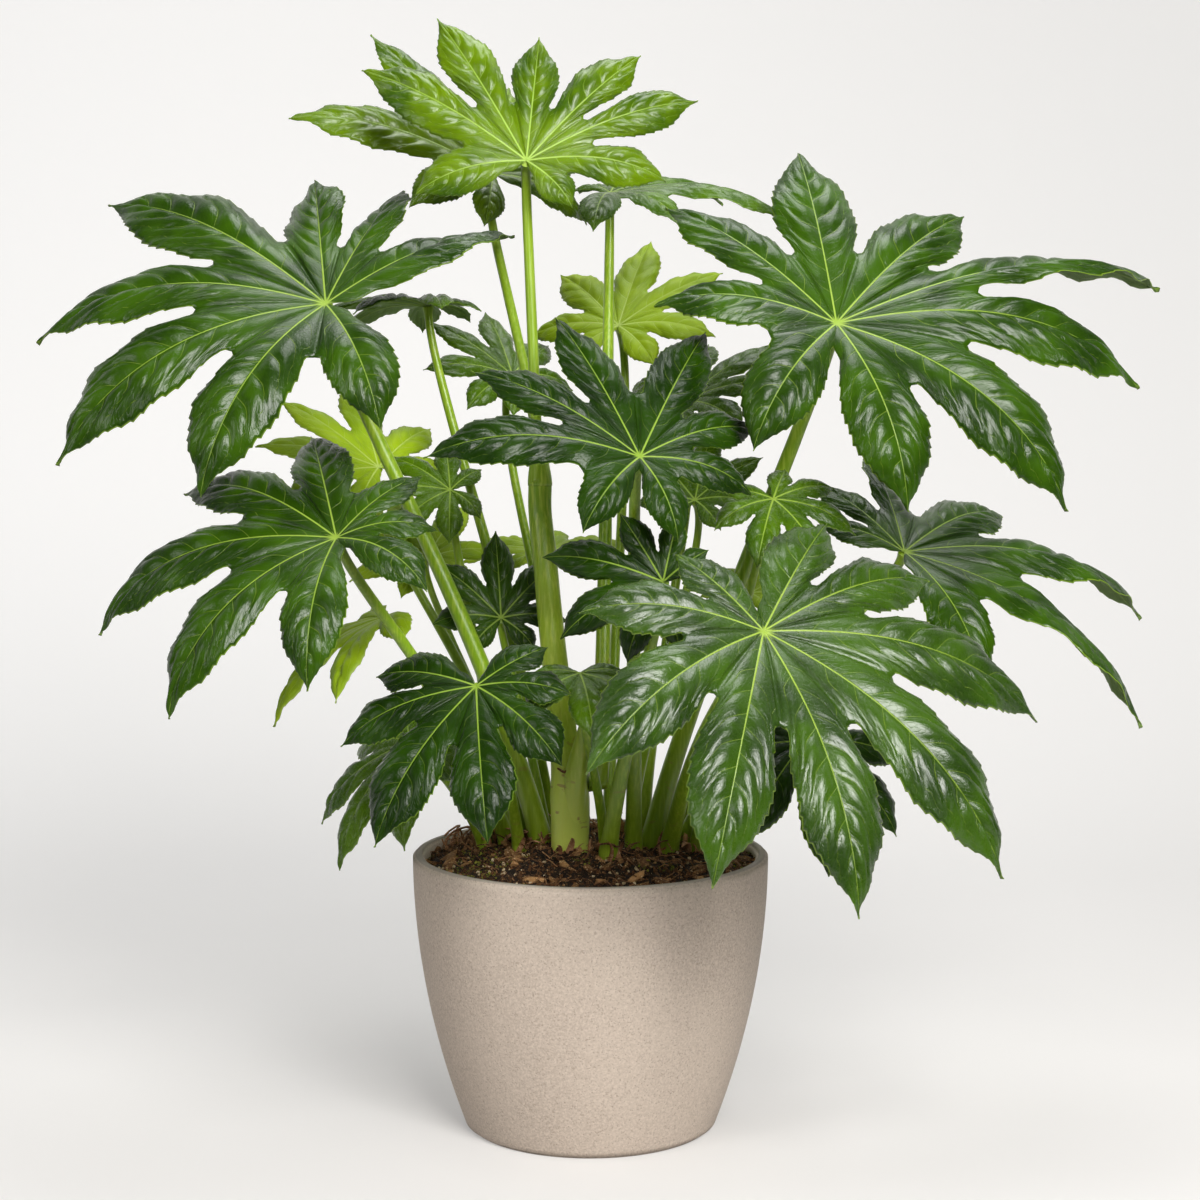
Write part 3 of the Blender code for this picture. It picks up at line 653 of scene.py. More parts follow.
SHEATH_RINGS = 14
SHEATH_SIDES = 36
SHEATH_HEIGHT = 34 * MM
stem_top, top_radius = route[-1] - 3 * MM * UP, widths[-1]
spread = unit(TOP_SPREAD)
aside = np.cross(UP, spread)
points = []
# The sheath starts as round as the cane and closes to a flat sleeve round the two stalks.
for height in np.linspace(0, 1, SHEATH_RINGS):
    closing = height * height * (3 - 2 * height)
    deep = top_radius + (0.5 + 0.9 * closing) * MM
    broad = top_radius + 0.5 * MM - (top_radius - 5.3 * MM) * closing
    lean = np.array([-1.0, -1.5, 0.0]) * MM * height
    points += [stem_top + lean + SHEATH_HEIGHT * height * UP + deep * x * spread + broad * y * aside
               for x, y in circle(1.0, SHEATH_SIDES)]
faces = [(a, d, c, b) for a, b, c, d in between_rings(0, SHEATH_RINGS, SHEATH_SIDES)]
faces.append([SHEATH_SIDES - 1 - step for step in range(SHEATH_SIDES)])
faces.append([len(points) - SHEATH_SIDES + step for step in range(SHEATH_SIDES)])
sheath = add_mesh("crown_sheath", points, faces, cane_skin)
sheath.data.attributes.new("along", "FLOAT", "POINT").data.foreach_set("value", [1.0] * len(points))
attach(sheath, "root")

# ---------------------------------------------------------------------------------------------
# Leaf stalks: smooth green rods, each swollen where it clasps the plant at its foot and again
# just under its blade. Most stand in the soil, three leave the cane. The young ones are brighter.

# How each leaf is set on the plant: hub (mm); (heading, pitch, roll) of the blade; directions of
# its lobes; their lengths (mm); (rise, droop) of the midribs; foot on the soil (mm) or the cane;
# stalk radii (mm); lean of the foot and neck; how broad the lobes are; how far each one twists
# over towards its tip.
Leaf = namedtuple("Leaf", "name tone hub turn angles reaches curl foot girth lean broad twists",
                  defaults=(1.0, None))
SMALLEST_LOBE = 0.52
LOBE_FALL = 1.7


def even(count, step, reach):
    """Directions and lengths of an even leaf's lobes, which get shorter towards the stalk."""
    half = (count - 1) / 2
    return ([(i - half) * step for i in range(count)],
            [reach * (1 - (1 - SMALLEST_LOBE) * (abs(i - half) / half) ** LOBE_FALL)
             for i in range(count)])


LEAVES = [
    Leaf("upper_left", "deep", (-217, -20, 691), (168, -11, -43),
         (-126, -92, -66, -24, 12, 46, 78, 131), (192, 172, 178, 268, 262, 268, 216, 140),
         (14, 50), (-42, -12), (9.0, 4.8), (0.42, 0.18), 1.0, (-32, -44, -20, 0, 12, 0, 0, 0)),
    Leaf("crown_front", "young", (-52, -20, 807), (108, -66, -12),
         (-140, -98, -70, -48, -12, 22, 50, 98), (56, 120, 160, 143, 117, 152, 161, 98),
         (12, 34), "cane_front", (5.2, 4.2), (0.40, 0.12), 1.1),
    Leaf("crown_rear", "young", (-85, 105, 808), (138, -50, -8),
         (-112, -76, -38, 8, 56, 96, 144), (110, 140, 150, 184, 186, 100, 62),
         (10, 45), "cane_rear", (5.0, 4.0), (0.40, 0.10)),
    Leaf("upper_right", "deep", (198, -60, 674), (47, -38, 36),
         (-127, -90, -53, -34, -5, 38, 76, 108, 178), (180, 250, 282, 326, 195, 207, 192, 154, 142),
         (12, 50), (52, -8), (9.0, 5.4), (0.30, 0.20), 1.0, (0, 0, -8, -46, 0, 0, 16, 16, 0)),
    Leaf("centre", "deep", (39, -130, 569), (120, -52, -10),
         (-172, -113, -78, -40, 8, 43, 74, 128), (80, 100, 117, 158, 150, 152, 174, 88),
         (14, 42), (36, -24), (6.8, 4.4), (0.48, 0.07)),
    Leaf("mid_left", "deep", (-201, -100, 504), (157, -6, -40),
         (-192, -151, -109, -55, -18, 26, 65, 104), (100, 84, 98, 156, 194, 228, 209, 151),
         (16, 55), (-72, 8), (6.5, 4.2), (0.45, 0.20)),
    Leaf("low_left", "deep", (-88, -150, 392), (-114, 44, -5),
         (-97, -62, -17, 22, 61, 101, 141), (95, 120, 154, 141, 105, 77, 66),
         (8, 36), (-60, -24), (5.2, 3.8), (0.45, 0.25), 1.35),
    Leaf("front_right", "deep", (131, -200, 440), (-39, 44, 22),
         (-171, -129, -83, -47, -16, 17, 55, 90, 120), (94, 144, 197, 225, 241, 265, 250, 184, 144),
         (12, 42), (66, -26), (7.5, 5.0), (0.45, 0.25)),
    Leaf("mid_right", "deep", (268, 40, 483), (-5, 19, 31),
         (-50, -13, 25, 62, 110, 142, 172), (158, 258, 256, 166, 150, 115, 80),
         (12, 46), (80, 10), (6.5, 4.2), (0.45, 0.20), 1.0, (0, -36, -28, 0, 40, 0, 0)),
    Leaf("crown_right", "mid", (17, 120, 793), (12, -2, 14),
         (-112, -55, -11, 32, 68, 105), (94, 90, 182, 150, 105, 62),
         (10, 45), "cane_side", (7.5, 4.0), (0.40, 0.10)),
    Leaf("rear_left", "pale", (-187, 107, 553), (148, -38, -13),
         (-106, -70, -30, 10, 48, 85, 120), (90, 112, 132, 115, 111, 106, 67),
         (8, 35), (-54, 44), (5.2, 3.6), (0.45, 0.18)),
    Leaf("inner_right", "mid", (148, -62, 533), (-50, 38, 18), *even(7, 44, 82),
         (12, 40), (88, -16), (5.0, 3.4), (0.30, 0.20), 1.2),
    Leaf("inner_centre", "mid", (90, 66, 526), (70, -52, 0), *even(7, 44, 78),
         (12, 40), (34, 32), (4.8, 3.4), (0.40, 0.20), 1.2),
    Leaf("inner_left", "mid", (-121, 59, 535), (185, 0, -40), *even(7, 44, 80),
         (12, 40), (-73, 24), (5.0, 3.4), (0.40, 0.15), 1.2),
    Leaf("inner_front", "deep", (57, -137, 472), (168, -15, -72),
         (-125, -85, -42, 0, 40, 80, 122), (44, 55, 66, 102, 96, 72, 58),
         (12, 40), (15, -57), (7.2, 3.8), (0.40, 0.15), 1.15),
    Leaf("low_rear_left", "pale", (-176, 45, 427), (200, 32, 0), *even(5, 42, 140),
         (12, 45), (-88, 22), (5.0, 3.4), (0.45, 0.20)),
    Leaf("low_left_under", "mid", (-150, -30, 330), (215, 45, 0), *even(7, 42, 125),
         (8, 40), (-92, 4), (4.6, 3.2), (0.45, 0.20), 1.15),
    Leaf("low_right_under", "deep", (177, -46, 333), (-75, 50, 0), *even(7, 42, 120),
         (8, 40), (96, 12), (4.8, 3.4), (0.45, 0.20), 1.15),
    Leaf("rear_upper_left", "mid", (-144, 130, 695), (190, 0, 5), *even(7, 46, 115),
         (10, 40), (-34, 58), (6.0, 3.8), (0.40, 0.12)),
    Leaf("rear_centre", "mid", (-72, 191, 634), (140, -42, -10), *even(8, 42, 98),
         (10, 40), (-10, 54), (5.4, 3.6), (0.40, 0.14), 1.15),
    Leaf("rear_top", "young", (25, 223, 680), (70, -45, 0), *even(7, 44, 125),
         (8, 35), (16, 60), (5.6, 3.8), (0.40, 0.14), 1.15),
    Leaf("crinkled", "mid", (-8, -100, 396), (-80, 26, 0), *even(5, 50, 80),
         (10, 40), (12, -38), (4.6, 3.2), (0.40, 0.20), 1.35),
    Leaf("rear_right", "mid", (82, 136, 611), (50, -35, 0), *even(8, 42, 115),
         (10, 40), (46, 54), (5.4, 3.6), (0.40, 0.16), 1.15),
    Leaf("rear_low_centre", "deep", (-76, 24, 428), (100, -65, 0), *even(7, 44, 80),
         (12, 40), (-38, 12), (4.8, 3.4), (0.40, 0.12), 1.25),
    Leaf("rear_pale", "pale", (-40, 215, 470), (90, -10, 0), *even(7, 44, 120),
         (10, 40), (-14, 78), (5.0, 3.4), (0.40, 0.16)),
    Leaf("inner_rear_left", "pale", (-148, 142, 470), (120, -40, -10), *even(7, 44, 100),
         (10, 40), (-60, 66), (4.6, 3.2), (0.40, 0.16)),
    Leaf("low_right_rear", "young", (137, 45, 447), (70, -30, 0), *even(7, 44, 66),
         (12, 40), (78, 38), (4.6, 3.2), (0.40, 0.16), 1.15),
]

BLADE_THICKNESS = 0.9 * MM
NECK = 3 * MM
OUTWARD = 0.7
LEVEL = np.array([1.0, 1.0, 0.0])
STALK_STEPS = 60
STALK_SIDES = 20
FOOT_SWELL = 0.22
NECK_SWELL = 0.28


def leaf_axes(turn):
    """A blade's own axes: along its middle direction, to its left, and out of its top face."""
    heading, pitch, roll = np.radians(turn)
    along = np.array([math.cos(pitch) * math.cos(heading), math.cos(pitch) * math.sin(heading),
                      -math.sin(pitch)])
    level = np.array([-math.sin(heading), math.cos(heading), 0.0])
    left = math.cos(roll) * level + math.sin(roll) * np.cross(along, level)
    return along, left, np.cross(along, left)


def cane_seat(seat, girth):
    """Where a stalk leaves the cane, and its first step from there."""
    route, widths = cane_route(CANE_RINGS)
    if seat == "cane_side":
        aside = unit(KNEE_AIM)
        return route[KNEE_RING] + aside * (widths[KNEE_RING] + 2 * GAP), KNEE * aside
    offset = -1 if seat == "cane_front" else 1
    return route[-1] + offset * (girth + GAP) * TOP_SPREAD + GAP * UP, NECK * UP


def stalk_route(leaf):
    """Centre line of a leaf stalk and its radii, from its foot to the underside of the hub."""
    out = leaf_axes(leaf.turn)[2]
    top = np.array(leaf.hub) * MM - out * (BLADE_THICKNESS + 2 * GAP)
    neck = top - NECK * out
    if leaf.foot in CANE_SEATS:
        foot, step = cane_seat(leaf.foot, leaf.girth[0] * MM)
        lead = foot
    else:
        x, y = leaf.foot[0] * MM, leaf.foot[1] * MM
        foot, step = np.array([x, y, soil_height(x, y)]), NECK * UP
        lead = foot - (SOCKET_DEPTH - GAP) * UP
    collar = foot + step
    length = np.linalg.norm(top - foot)
    aim = unit(UP + OUTWARD * (top - foot) * LEVEL / length)
    first = collar + aim * leaf.lean[0] * length
    second = neck - out * leaf.lean[1] * length
    t = np.linspace(0, 1, STALK_STEPS)[:, None] ** 0.9
    s = 1 - t
    curve = s ** 3 * collar + 3 * s * s * t * first + 3 * s * t * t * second + t ** 3 * neck
    share = t[:, 0]
    radii = leaf.girth[0] + (leaf.girth[1] - leaf.girth[0]) * share
    radii *= 0.90 + FOOT_SWELL * np.exp(-share * 14) + NECK_SWELL * np.exp((share - 1) * 40)
    return (np.vstack([lead, foot, curve, top]),
            np.concatenate([[radii[0]] * 2, radii, [radii[-1] * 1.06]]) * MM)


stalk_skin = stem_finish("stalk_skin", 0.15 * MM, (0.25, 0.37, 0.012, 1), (0.165, 0.30, 0.006, 1),
                         (0.22, 0.36, 0.010, 1), (0.44, 0.56, 0.06, 1), 0.35)
young_skin = stem_finish("young_stalk_skin", 0.15 * MM, (0.20, 0.32, 0.010, 1),
                         (0.20, 0.33, 0.010, 1), (0.25, 0.39, 0.014, 1), (0.36, 0.50, 0.06, 1))

for leaf in LEAVES:
    route, widths = stalk_route(leaf)
    skin = young_skin if leaf.tone in ("young", "pale") else stalk_skin
    stalk = run_tree("rod_" + leaf.name, path_mesh("rod_" + leaf.name, route, widths), stem_nodes,
                     {"Sides": STALK_SIDES, "Flute": 0.5 * MM, "Grain": 90.0, "Skin": skin})
    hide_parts("stalk_" + leaf.name)
    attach(stalk, "root")

# ---------------------------------------------------------------------------------------------
# Dry remains round the stem feet: papery brown bracts of old leaves, and dead roots and twigs.
# They stand loosely in the soil against the stems, with one tangle of twigs near the rim.

COLLAR_SIDES = 12
TANGLE = (-112 * MM, 48 * MM, 0.0)


def collars(feet, width):
    """A flat ring of ground round each foot, which is given as x, y and radius."""
    points, faces = [], []
    for x, y, radius in feet:
        faces += between_rings(len(points), 2, COLLAR_SIDES)
        points += [(x + across, y + back, soil_height(x + across, y + back) - 1.5 * MM)
                   for reach in (radius, radius + width)
                   for across, back in circle(reach, COLLAR_SIDES)]
    made = bpy.data.meshes.new("collars")
    made.from_pydata(points, [], faces)
    return made


def bract(tree, fineness):
    """A curled papery strip, about one unit tall, that narrows to its tip."""
    arc = join(tree, "GeometryNodeCurveArc",
               {"Resolution": fineness, "Radius": 0.7, "Start Angle": -0.3, "Sweep Angle": 2.0})[0]
    along = join(tree, "GeometryNodeSplineParameter")["Factor"]
    narrow = calc("MULTIPLY_ADD", calc("POWER", along, 2.0), -0.85, 1.0)
    band = join(tree, "GeometryNodeCurvePrimitiveQuadrilateral", {"Width": 0.05, "Height": 0.28})[0]
    strip = join(tree, "GeometryNodeCurveToMesh",
                 {"Curve": arc, "Profile Curve": band, "Scale": narrow, "Fill Caps": True})[0]
    return join(tree, "GeometryNodeTransform",
                {"Geometry": strip, "Translation": (-0.7, 0.0, 0.0),
                 "Rotation": (math.pi / 2, 0.0, 0.0)})[0]


feet = [(leaf.foot[0] * MM, leaf.foot[1] * MM, leaf.girth[0] * MM) for leaf in LEAVES
        if leaf.foot not in CANE_SEATS]
feet.append((CANE_ROUTE[0][0] * MM, CANE_ROUTE[0][1] * MM, CANE_RADII[0] * MM))
round_feet = collars(feet, 3.5 * MM)
husk = earthy("dry_bract", (0.24, 0.098, 0.045, 1), (0.66, 0.35, 0.18, 1),
              (0.78, 0.54, 0.32, 1), 0.65)
bract_tree = scatter_tree("strew bracts", bract, 7)
tangle = collars([TANGLE], 15 * MM)
DRY = [
    ("bracts", bract_tree, round_feet, (24000.0, 0.40, 3, 11 * MM, 26 * MM, 1.0, 1.0, 0.55, husk)),
    ("roots", fibre_tree, round_feet, (36000.0, 0.40, 5, 6 * MM, 15 * MM, 1.3, 1.0, 1.3, root)),
    ("twigs", fibre_tree, tangle, (40000.0, 0.0, 7, 7 * MM, 17 * MM, 1.3, 1.0, 1.5, husk))]
for name, tree, ground, values in DRY:
    bits = run_tree("dry_" + name, ground, tree, dict(zip(STREWN, values)))
    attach(bits, "root")

# ---------------------------------------------------------------------------------------------
# Leaf blades: leathery palmate sheets of five to nine lobes, each joined to its stalk at a pale
# hub. The face is waxy and deep green, puffed up between sunken side veins. The back is paler,
# with raised midribs.

LOBE_WIDTH = 0.172
WIDEST_AT = 0.56
WEB_RADIUS = 0.40
RIB_WEB_SHARE = 0.5
SINUS_GAP = 0.022
WEB_EASE = 0.25
OUTER_HALF_ANGLE = math.radians(38)
OUTER_BASE_WIDTH = 0.6
MIDRIB_STEPS = 120
UPRIGHT_EASE = 0.9
TWIST_END = 0.8
BOW = 0.85
BOW_END = 0.83
EDGE_LEAD = 0.45
DEEPEST_TOOTH = 1.9 * MM
RIPPLE = 0.009
WAVE_LENGTH = (0.20, 0.30)
WAVE_TURN = (0, 6.28)
EDGE_ROLL = (-0.10, 0.10)
CM = 0.01
SWELL = 0.145
THINNEST = 0.7 * MM
MIDRIB_HEFT = 1.9 * MM
Fineness = namedtuple("Fineness", "rows_per_vein veins tooth columns")
FINE = Fineness(8, 5.4, (0, 0.25, 0.55, 1), (0, 0.035, 0.15, 0.30, 0.45, 0.58, 0.70, 0.80, 0.90, 1))
PLAIN = Fineness(6, 3.6, (0, 0.4, 1), (0, 0.07, 0.30, 0.55, 0.80, 1))


class Lobe:
    """One lobe of a blade: its curved midrib, and the surface that the midrib carries."""

    def __init__(self, leaf, index):
        along, left, out = leaf_axes(leaf.turn)
        rise, droop = np.radians(leaf.curl)
        self.angle = math.radians(leaf.angles[index])
        self.length = leaf.reaches[index] * MM
        self.breadth = LOBE_WIDTH * leaf.broad * math.sqrt(self.length * np.mean(leaf.reaches) * MM)
        self.twist = math.radians(leaf.twists[index]) if leaf.twists else 0.0
        heading = math.cos(self.angle) * along + math.sin(self.angle) * left
        self.side = np.cross(out, heading)
        sag = -0.5 * out - 0.5 * UP
        sag = sag - sag.dot(heading) * heading
        reach = min(1.0, np.linalg.norm(sag) / 0.7) * (1 - UPRIGHT_EASE * max(0.0, heading[2]))
        share = (np.arange(MIDRIB_STEPS) + 0.5) / MIDRIB_STEPS
        bend = reach * ((rise + droop) * share ** 1.5 - rise)
        tangents = np.outer(np.cos(bend), heading) + np.outer(np.sin(bend), unit(sag))
        steps = np.cumsum(tangents, axis=0) * self.length / MIDRIB_STEPS
        self.stations = np.linspace(0, self.length, MIDRIB_STEPS + 1)
        self.points = np.vstack([np.zeros(3), steps])
        self.tangents = np.vstack([tangents[:1], tangents])

    def read(self, table, x):
        """Values of a table kept along the midrib, at distances from the hub."""
        return np.stack([np.interp(x, self.stations, table[:, axis]) for axis in range(3)], axis=-1)

    def place(self, x, y):
        """Points of the lobe's own surface beside its midrib, and the directions out of it."""
        tangent = unit(self.read(self.tangents, x))
        level = unit(self.side - (tangent @ self.side)[..., None] * tangent)
        upright = np.cross(tangent, level)
        share = np.clip(x / (TWIST_END * self.length), 0, 1)
        roll = (self.twist * share * share * (3 - 2 * share))[..., None]
        across = np.cos(roll) * level + np.sin(roll) * upright
        return self.read(self.points, x) + y[..., None] * across, np.cross(tangent, across)


def smooth(value, low, high):
    """Smooth step from 0 at low to 1 at high."""
    share = np.clip((value - low) / (high - low), 0, 1)
    return share * share * (3 - 2 * share)


def lobe_width(share):
    """Half-width of a lobe along its length, drawn out to a fine tip."""
    wide = ((np.maximum(share, 1e-6) / WIDEST_AT) ** 1.4
            * (np.maximum(1 - share, 0) / (1 - WIDEST_AT)) ** 1.1)
    return wide * (1 - 0.30 * smooth(share, 0.80, 0.97))


def margin_width(lobe, half_angle, web, x):
    """Half-width at x, kept off the neighbouring lobe by a gap that opens in a round."""
    start = web * math.cos(half_angle)
    gap = SINUS_GAP * lobe.length
    opening = np.clip((x - start) / (1.6 * gap), 0, 1)
    room = x * math.tan(half_angle) - gap * np.sqrt(1 - (1 - opening) ** 2)
    wide = lobe.breadth * lobe_width(x / lobe.length)
    ease = np.clip((x - start) / (WEB_EASE * lobe.length), 0, 1)
    wide = np.maximum(wide, (1 - ease) * room)
    near = 0.04 * lobe.length
    return np.maximum(0, 0.5 * (room + wide - np.sqrt((room - wide) ** 2 + near ** 2 * ease)))


def lobe_grid(lobes, index, side, fineness):
    """Points, vein map, lobe map, edge marks and rib marks of one half of a lobe, row by row."""
    lobe = lobes[index]
    other = lobes[index + side] if 0 <= index + side < len(lobes) else None
    rows_per_vein = fineness.rows_per_vein
    web_rows = 2 * rows_per_vein
    veins = round(2.6 + fineness.veins * (lobe.length / 0.26) ** 0.6)
    rows = web_rows + rows_per_vein * veins
    row = np.arange(rows + 1)
    web_share = np.clip(row / web_rows, 0, 1)
    free_share = np.clip((row - web_rows) / (rows - web_rows), 0, 1)
    start = RIB_WEB_SHARE * WEB_RADIUS * lobe.length
    rib = start * web_share + (lobe.length - start) * free_share
    if other:
        half_angle = abs(other.angle - lobe.angle) / 2
        web = WEB_RADIUS * (lobe.length + other.length) / 2
        free_start = web * math.cos(half_angle)
        forward = free_share + EDGE_LEAD * free_share * (1 - free_share)
        edge_x = free_start * web_share + (lobe.length - free_start) * forward
        edge_y = np.where(row <= web_rows, web * web_share * math.sin(half_angle),
                          margin_width(lobe, half_angle, web, edge_x))
        free = smooth(free_share, 0.0, 0.15)
        toothed = smooth(free_share, 0.03, 0.10)
    else:
        share = row / rows
        edge_x = lobe.length * (share + EDGE_LEAD * share * (1 - share))
        wide = lobe.breadth * np.maximum(lobe_width(edge_x / lobe.length),
                                         OUTER_BASE_WIDTH * (1 - edge_x / lobe.length))
        room = edge_x * math.tan(OUTER_HALF_ANGLE)
        near = 0.05 * lobe.length * np.minimum(1, 8 * share)
        edge_y = np.maximum(0, 0.5 * (room + wide - np.sqrt((room - wide) ** 2 + near ** 2)))
        free = smooth(share, 0.0, 0.15)
        toothed = smooth(share, 0.12, 0.25)
    tooth = np.array(fineness.tooth)[(row - web_rows) % len(fineness.tooth)]
    tooth = tooth * toothed * np.clip(0.06 * edge_y, 0, DEEPEST_TOOTH)
    edge_x = np.minimum(edge_x + 0.7 * tooth * (rows - row > 3), lobe.length)
    edge_y = edge_y + tooth

    share = np.array(fineness.columns)
    x = rib[:, None] + (edge_x - rib)[:, None] * (0.58 * share + 0.42 * smooth(share, 0.45, 0.92))
    y = side * edge_y[:, None] * share
    points, out = lobe.place(x, y)
    if other:
        radius, bearing = np.hypot(x, y), np.arctan2(y, x)
        beside = np.clip(np.abs(bearing) / half_angle, 0, 1)
        fade = np.clip(2 - radius / web, 0, 1)
        weight = (0.5 * beside * beside * (3 - 2 * beside) * fade * fade)[..., None]
        beyond = bearing + lobe.angle - other.angle
        second, second_out = other.place(radius * np.cos(beyond), radius * np.sin(beyond))
        points = (1 - weight) * points + weight * second
        out = unit((1 - weight) * out + weight * second_out)

    phase = row / rows_per_vein + (0.5 if side > 0 else 0)
    spacing = (lobe.length - start) * rows_per_vein / (rows - web_rows)
    swell = SWELL * spacing * (0.06 + 0.94 * smooth(rib / lobe.length, 0.18, 0.48))
    swell = swell * np.clip(2.4 * edge_y / spacing, 0, 1)
    bow = BOW * np.minimum(1, (share / BOW_END) ** 5)
    panel = 1 - np.abs(2 * ((phase[:, None] - bow) % 1) - 1) ** 3.2
    across = smooth(share, 0, 0.26) * (1 - (1 - 0.15 * free[:, None]) * smooth(share, 0.58, 0.96))
    lift = swell[:, None] * panel * across
    lift += edge_y[:, None] * (0.27 * share - (0.37 + 0.08 * free[:, None]) * share ** 2)
    wave, turn, roll = lobe.waves
    ripple = np.sin(2 * math.pi * rib / (wave * lobe.length) + turn + side)
    lift += (RIPPLE * lobe.length * free * ripple)[:, None] * share ** 2
    lift += side * (edge_y * free * free_share * roll)[:, None] * share
    points = points + lift[..., None] * out
    vein_map = np.stack(np.broadcast_arrays(phase[:, None], share), axis=-1)
    reached = (rib / lobe.length)[:, None]
    lobe_map = np.stack(np.broadcast_arrays(reached, np.abs(y) / CM), axis=-1)
    edge = np.zeros(x.shape)
    edge[:, -1] = free > 0
    heft = np.full(x.shape, THINNEST)
    heft[:, 0] += MIDRIB_HEFT * (lobe.length / 0.25) ** 0.5 * (1 - rib / lobe.length) ** 0.8
    pitch = np.full(x.shape, spacing / CM)
    return points, vein_map, lobe_map, edge, heft, pitch


def blade_sheet(leaf, number):
    """The top face of a blade as a mesh, with its maps and the thickness it is to get."""
    chance = np.random.default_rng(number)
    lobes = [Lobe(leaf, index) for index in range(len(leaf.angles))]
    fineness = FINE if max(leaf.reaches) > 150 else PLAIN
    points, faces, maps, marks = [], [], ([], []), ([], [], [])
    count = 0
    for index, lobe in enumerate(lobes):
        lobe.waves = [chance.uniform(*span) for span in (WAVE_LENGTH, WAVE_TURN, EDGE_ROLL)]
        for side in (-1, 1):
            grid, vein_map, lobe_map, edge, heft, pitch = lobe_grid(lobes, index, side, fineness)
            rows, columns = edge.shape
            number_of = count + np.arange(rows * columns).reshape(rows, columns)
            quads = np.stack([number_of[:-1, :-1], number_of[1:, :-1], number_of[1:, 1:],
                              number_of[:-1, 1:]], axis=-1).reshape(-1, 4)
            faces.append(quads if side > 0 else quads[:, ::-1])
            points.append(grid.reshape(-1, 3))
            maps[0].append(vein_map.reshape(-1, 2))
            maps[1].append(lobe_map.reshape(-1, 2))
            for table, values in zip(marks, (edge, heft, pitch)):
                table.append(values.reshape(-1))
            count += rows * columns
    points = np.concatenate(points) + np.array(leaf.hub) * MM
    faces = np.concatenate(faces)
    mesh = bpy.data.meshes.new("blade_" + leaf.name)
    mesh.from_pydata(points, [], faces)
    for name, table in zip(("veins", "lobe"), maps):
        layer = mesh.uv_layers.new(name=name)
        layer.uv.foreach_set("vector", np.concatenate(table)[faces.reshape(-1)].reshape(-1))
    for name, table in zip(("edge", "heft", "pitch"), marks):
        mark = mesh.attributes.new(name, "FLOAT", "POINT")
        mark.data.foreach_set("value", np.concatenate(table))
    form = bmesh.new()
    form.from_mesh(mesh)
    bmesh.ops.remove_doubles(form, verts=form.verts, dist=2e-6)
    form.to_mesh(mesh)
    form.free()
    return mesh


LEAF_SKIN = {"Dark": "Color", "Light": "Color", "Vein": "Color", "Margin": "Color",
             "Side veins": "Float", "Gloss": "Float", "Raise": "Float"}


def leaf_skin_group():
    """Skin of a blade: its veins, the fine net between them, a thin margin and a mottled green."""
    tree, given, result = group_tree("leaf skin", "ShaderNodeTree", LEAF_SKIN, SKIN_OUT)
    place = object_place(tree)
    vein_map = join(tree, "ShaderNodeUVMap", uv_map="veins")[0]
    veins = join(tree, "ShaderNodeSeparateXYZ", {0: vein_map})
    lobe = join(tree, "ShaderNodeUVMap", uv_map="lobe")[0]
    lobe = join(tree, "ShaderNodeSeparateXYZ", {0: lobe})
    edge = kept(tree, "edge")

    pitch = kept(tree, "pitch")
    bow = calc("POWER", calc("MULTIPLY", veins[1], 1 / BOW_END), 5.0)
    bow = calc("MULTIPLY", calc("MINIMUM", bow, 1.0), BOW)
    apart = calc("PINGPONG", calc("SUBTRACT", veins[0], bow), 0.5)
    apart = calc("MULTIPLY", apart, pitch)
    fine = calc("MULTIPLY_ADD", veins[1], 0.010, 0.040)
    side_vein = fall(calc("DIVIDE", apart, fine), 0.4, 1.3)
    side_vein = calc("MULTIPLY", side_vein, fall(veins[1], 0.80, 0.88))
    taper = calc("POWER", calc("SUBTRACT", 1.0, lobe[0]), 0.8)
    breadth = calc("MULTIPLY_ADD", taper, 0.055, 0.022)
    main_vein = fall(calc("DIVIDE", lobe[1], breadth), 0.65, 1.25)
    main_vein = calc("MAXIMUM", main_vein, fall(lobe[0], 0.006, 0.030))
    drawn = join(tree, "ShaderNodeMapping", {"Vector": vein_map, "Scale": (7.0, 8.0, 1.0)})[0]
    cells = join(tree, "ShaderNodeTexVoronoi", {0: drawn, 2: 1.0}, feature="DISTANCE_TO_EDGE")[0]
    net = fall(cells, 0.0, 0.09)
    pillows = ramp(cells, 0.0, 0.42)
    cloud = noise_in(place, 22.0, 4.0)[0]
    fleck = noise_in(place, 320.0, 2.0)[0]

    colour = blend(ramp(cloud, 0.34, 0.68), given["Dark"], given["Light"])
    beside = fall(lobe[1], 0.0, 0.9)
    colour = blend(calc("MULTIPLY", beside, 0.35), colour, given["Light"])
    colour = blend(calc("MULTIPLY", net, 0.22), colour, given["Light"])
    share = calc("MULTIPLY", side_vein, given["Side veins"])
    colour = blend(share, colour, given["Vein"])
    fading = calc("MULTIPLY", main_vein, calc("MULTIPLY_ADD", lobe[0], -0.62, 0.92))
    colour = blend(fading, colour, given["Vein"])
    rimmed = calc("MULTIPLY", ramp(edge, 0.62, 0.95), 0.6)
    colour = blend(rimmed, colour, given["Margin"])
    tree.links.new(colour, result["Colour"])

    rough = calc("MULTIPLY_ADD", fleck, 0.10, calc("SUBTRACT", given["Gloss"], 0.05))
    rough = calc("MULTIPLY_ADD", main_vein, 0.10, rough)
    tree.links.new(rough, result["Roughness"])
    height = calc("ADD", calc("MULTIPLY", side_vein, 0.6), calc("MULTIPLY", net, 0.15))
    height = calc("MULTIPLY", height, given["Raise"])
    height = calc("MULTIPLY_ADD", main_vein, 0.7, height)
    height = calc("MULTIPLY_ADD", fleck, 0.10, height)
    height = calc("MULTIPLY_ADD", calc("MULTIPLY", pillows, given["Raise"]), -0.07, height)
    tree.links.new(height, result["Height"])
    return tree


leaf_skin = leaf_skin_group()
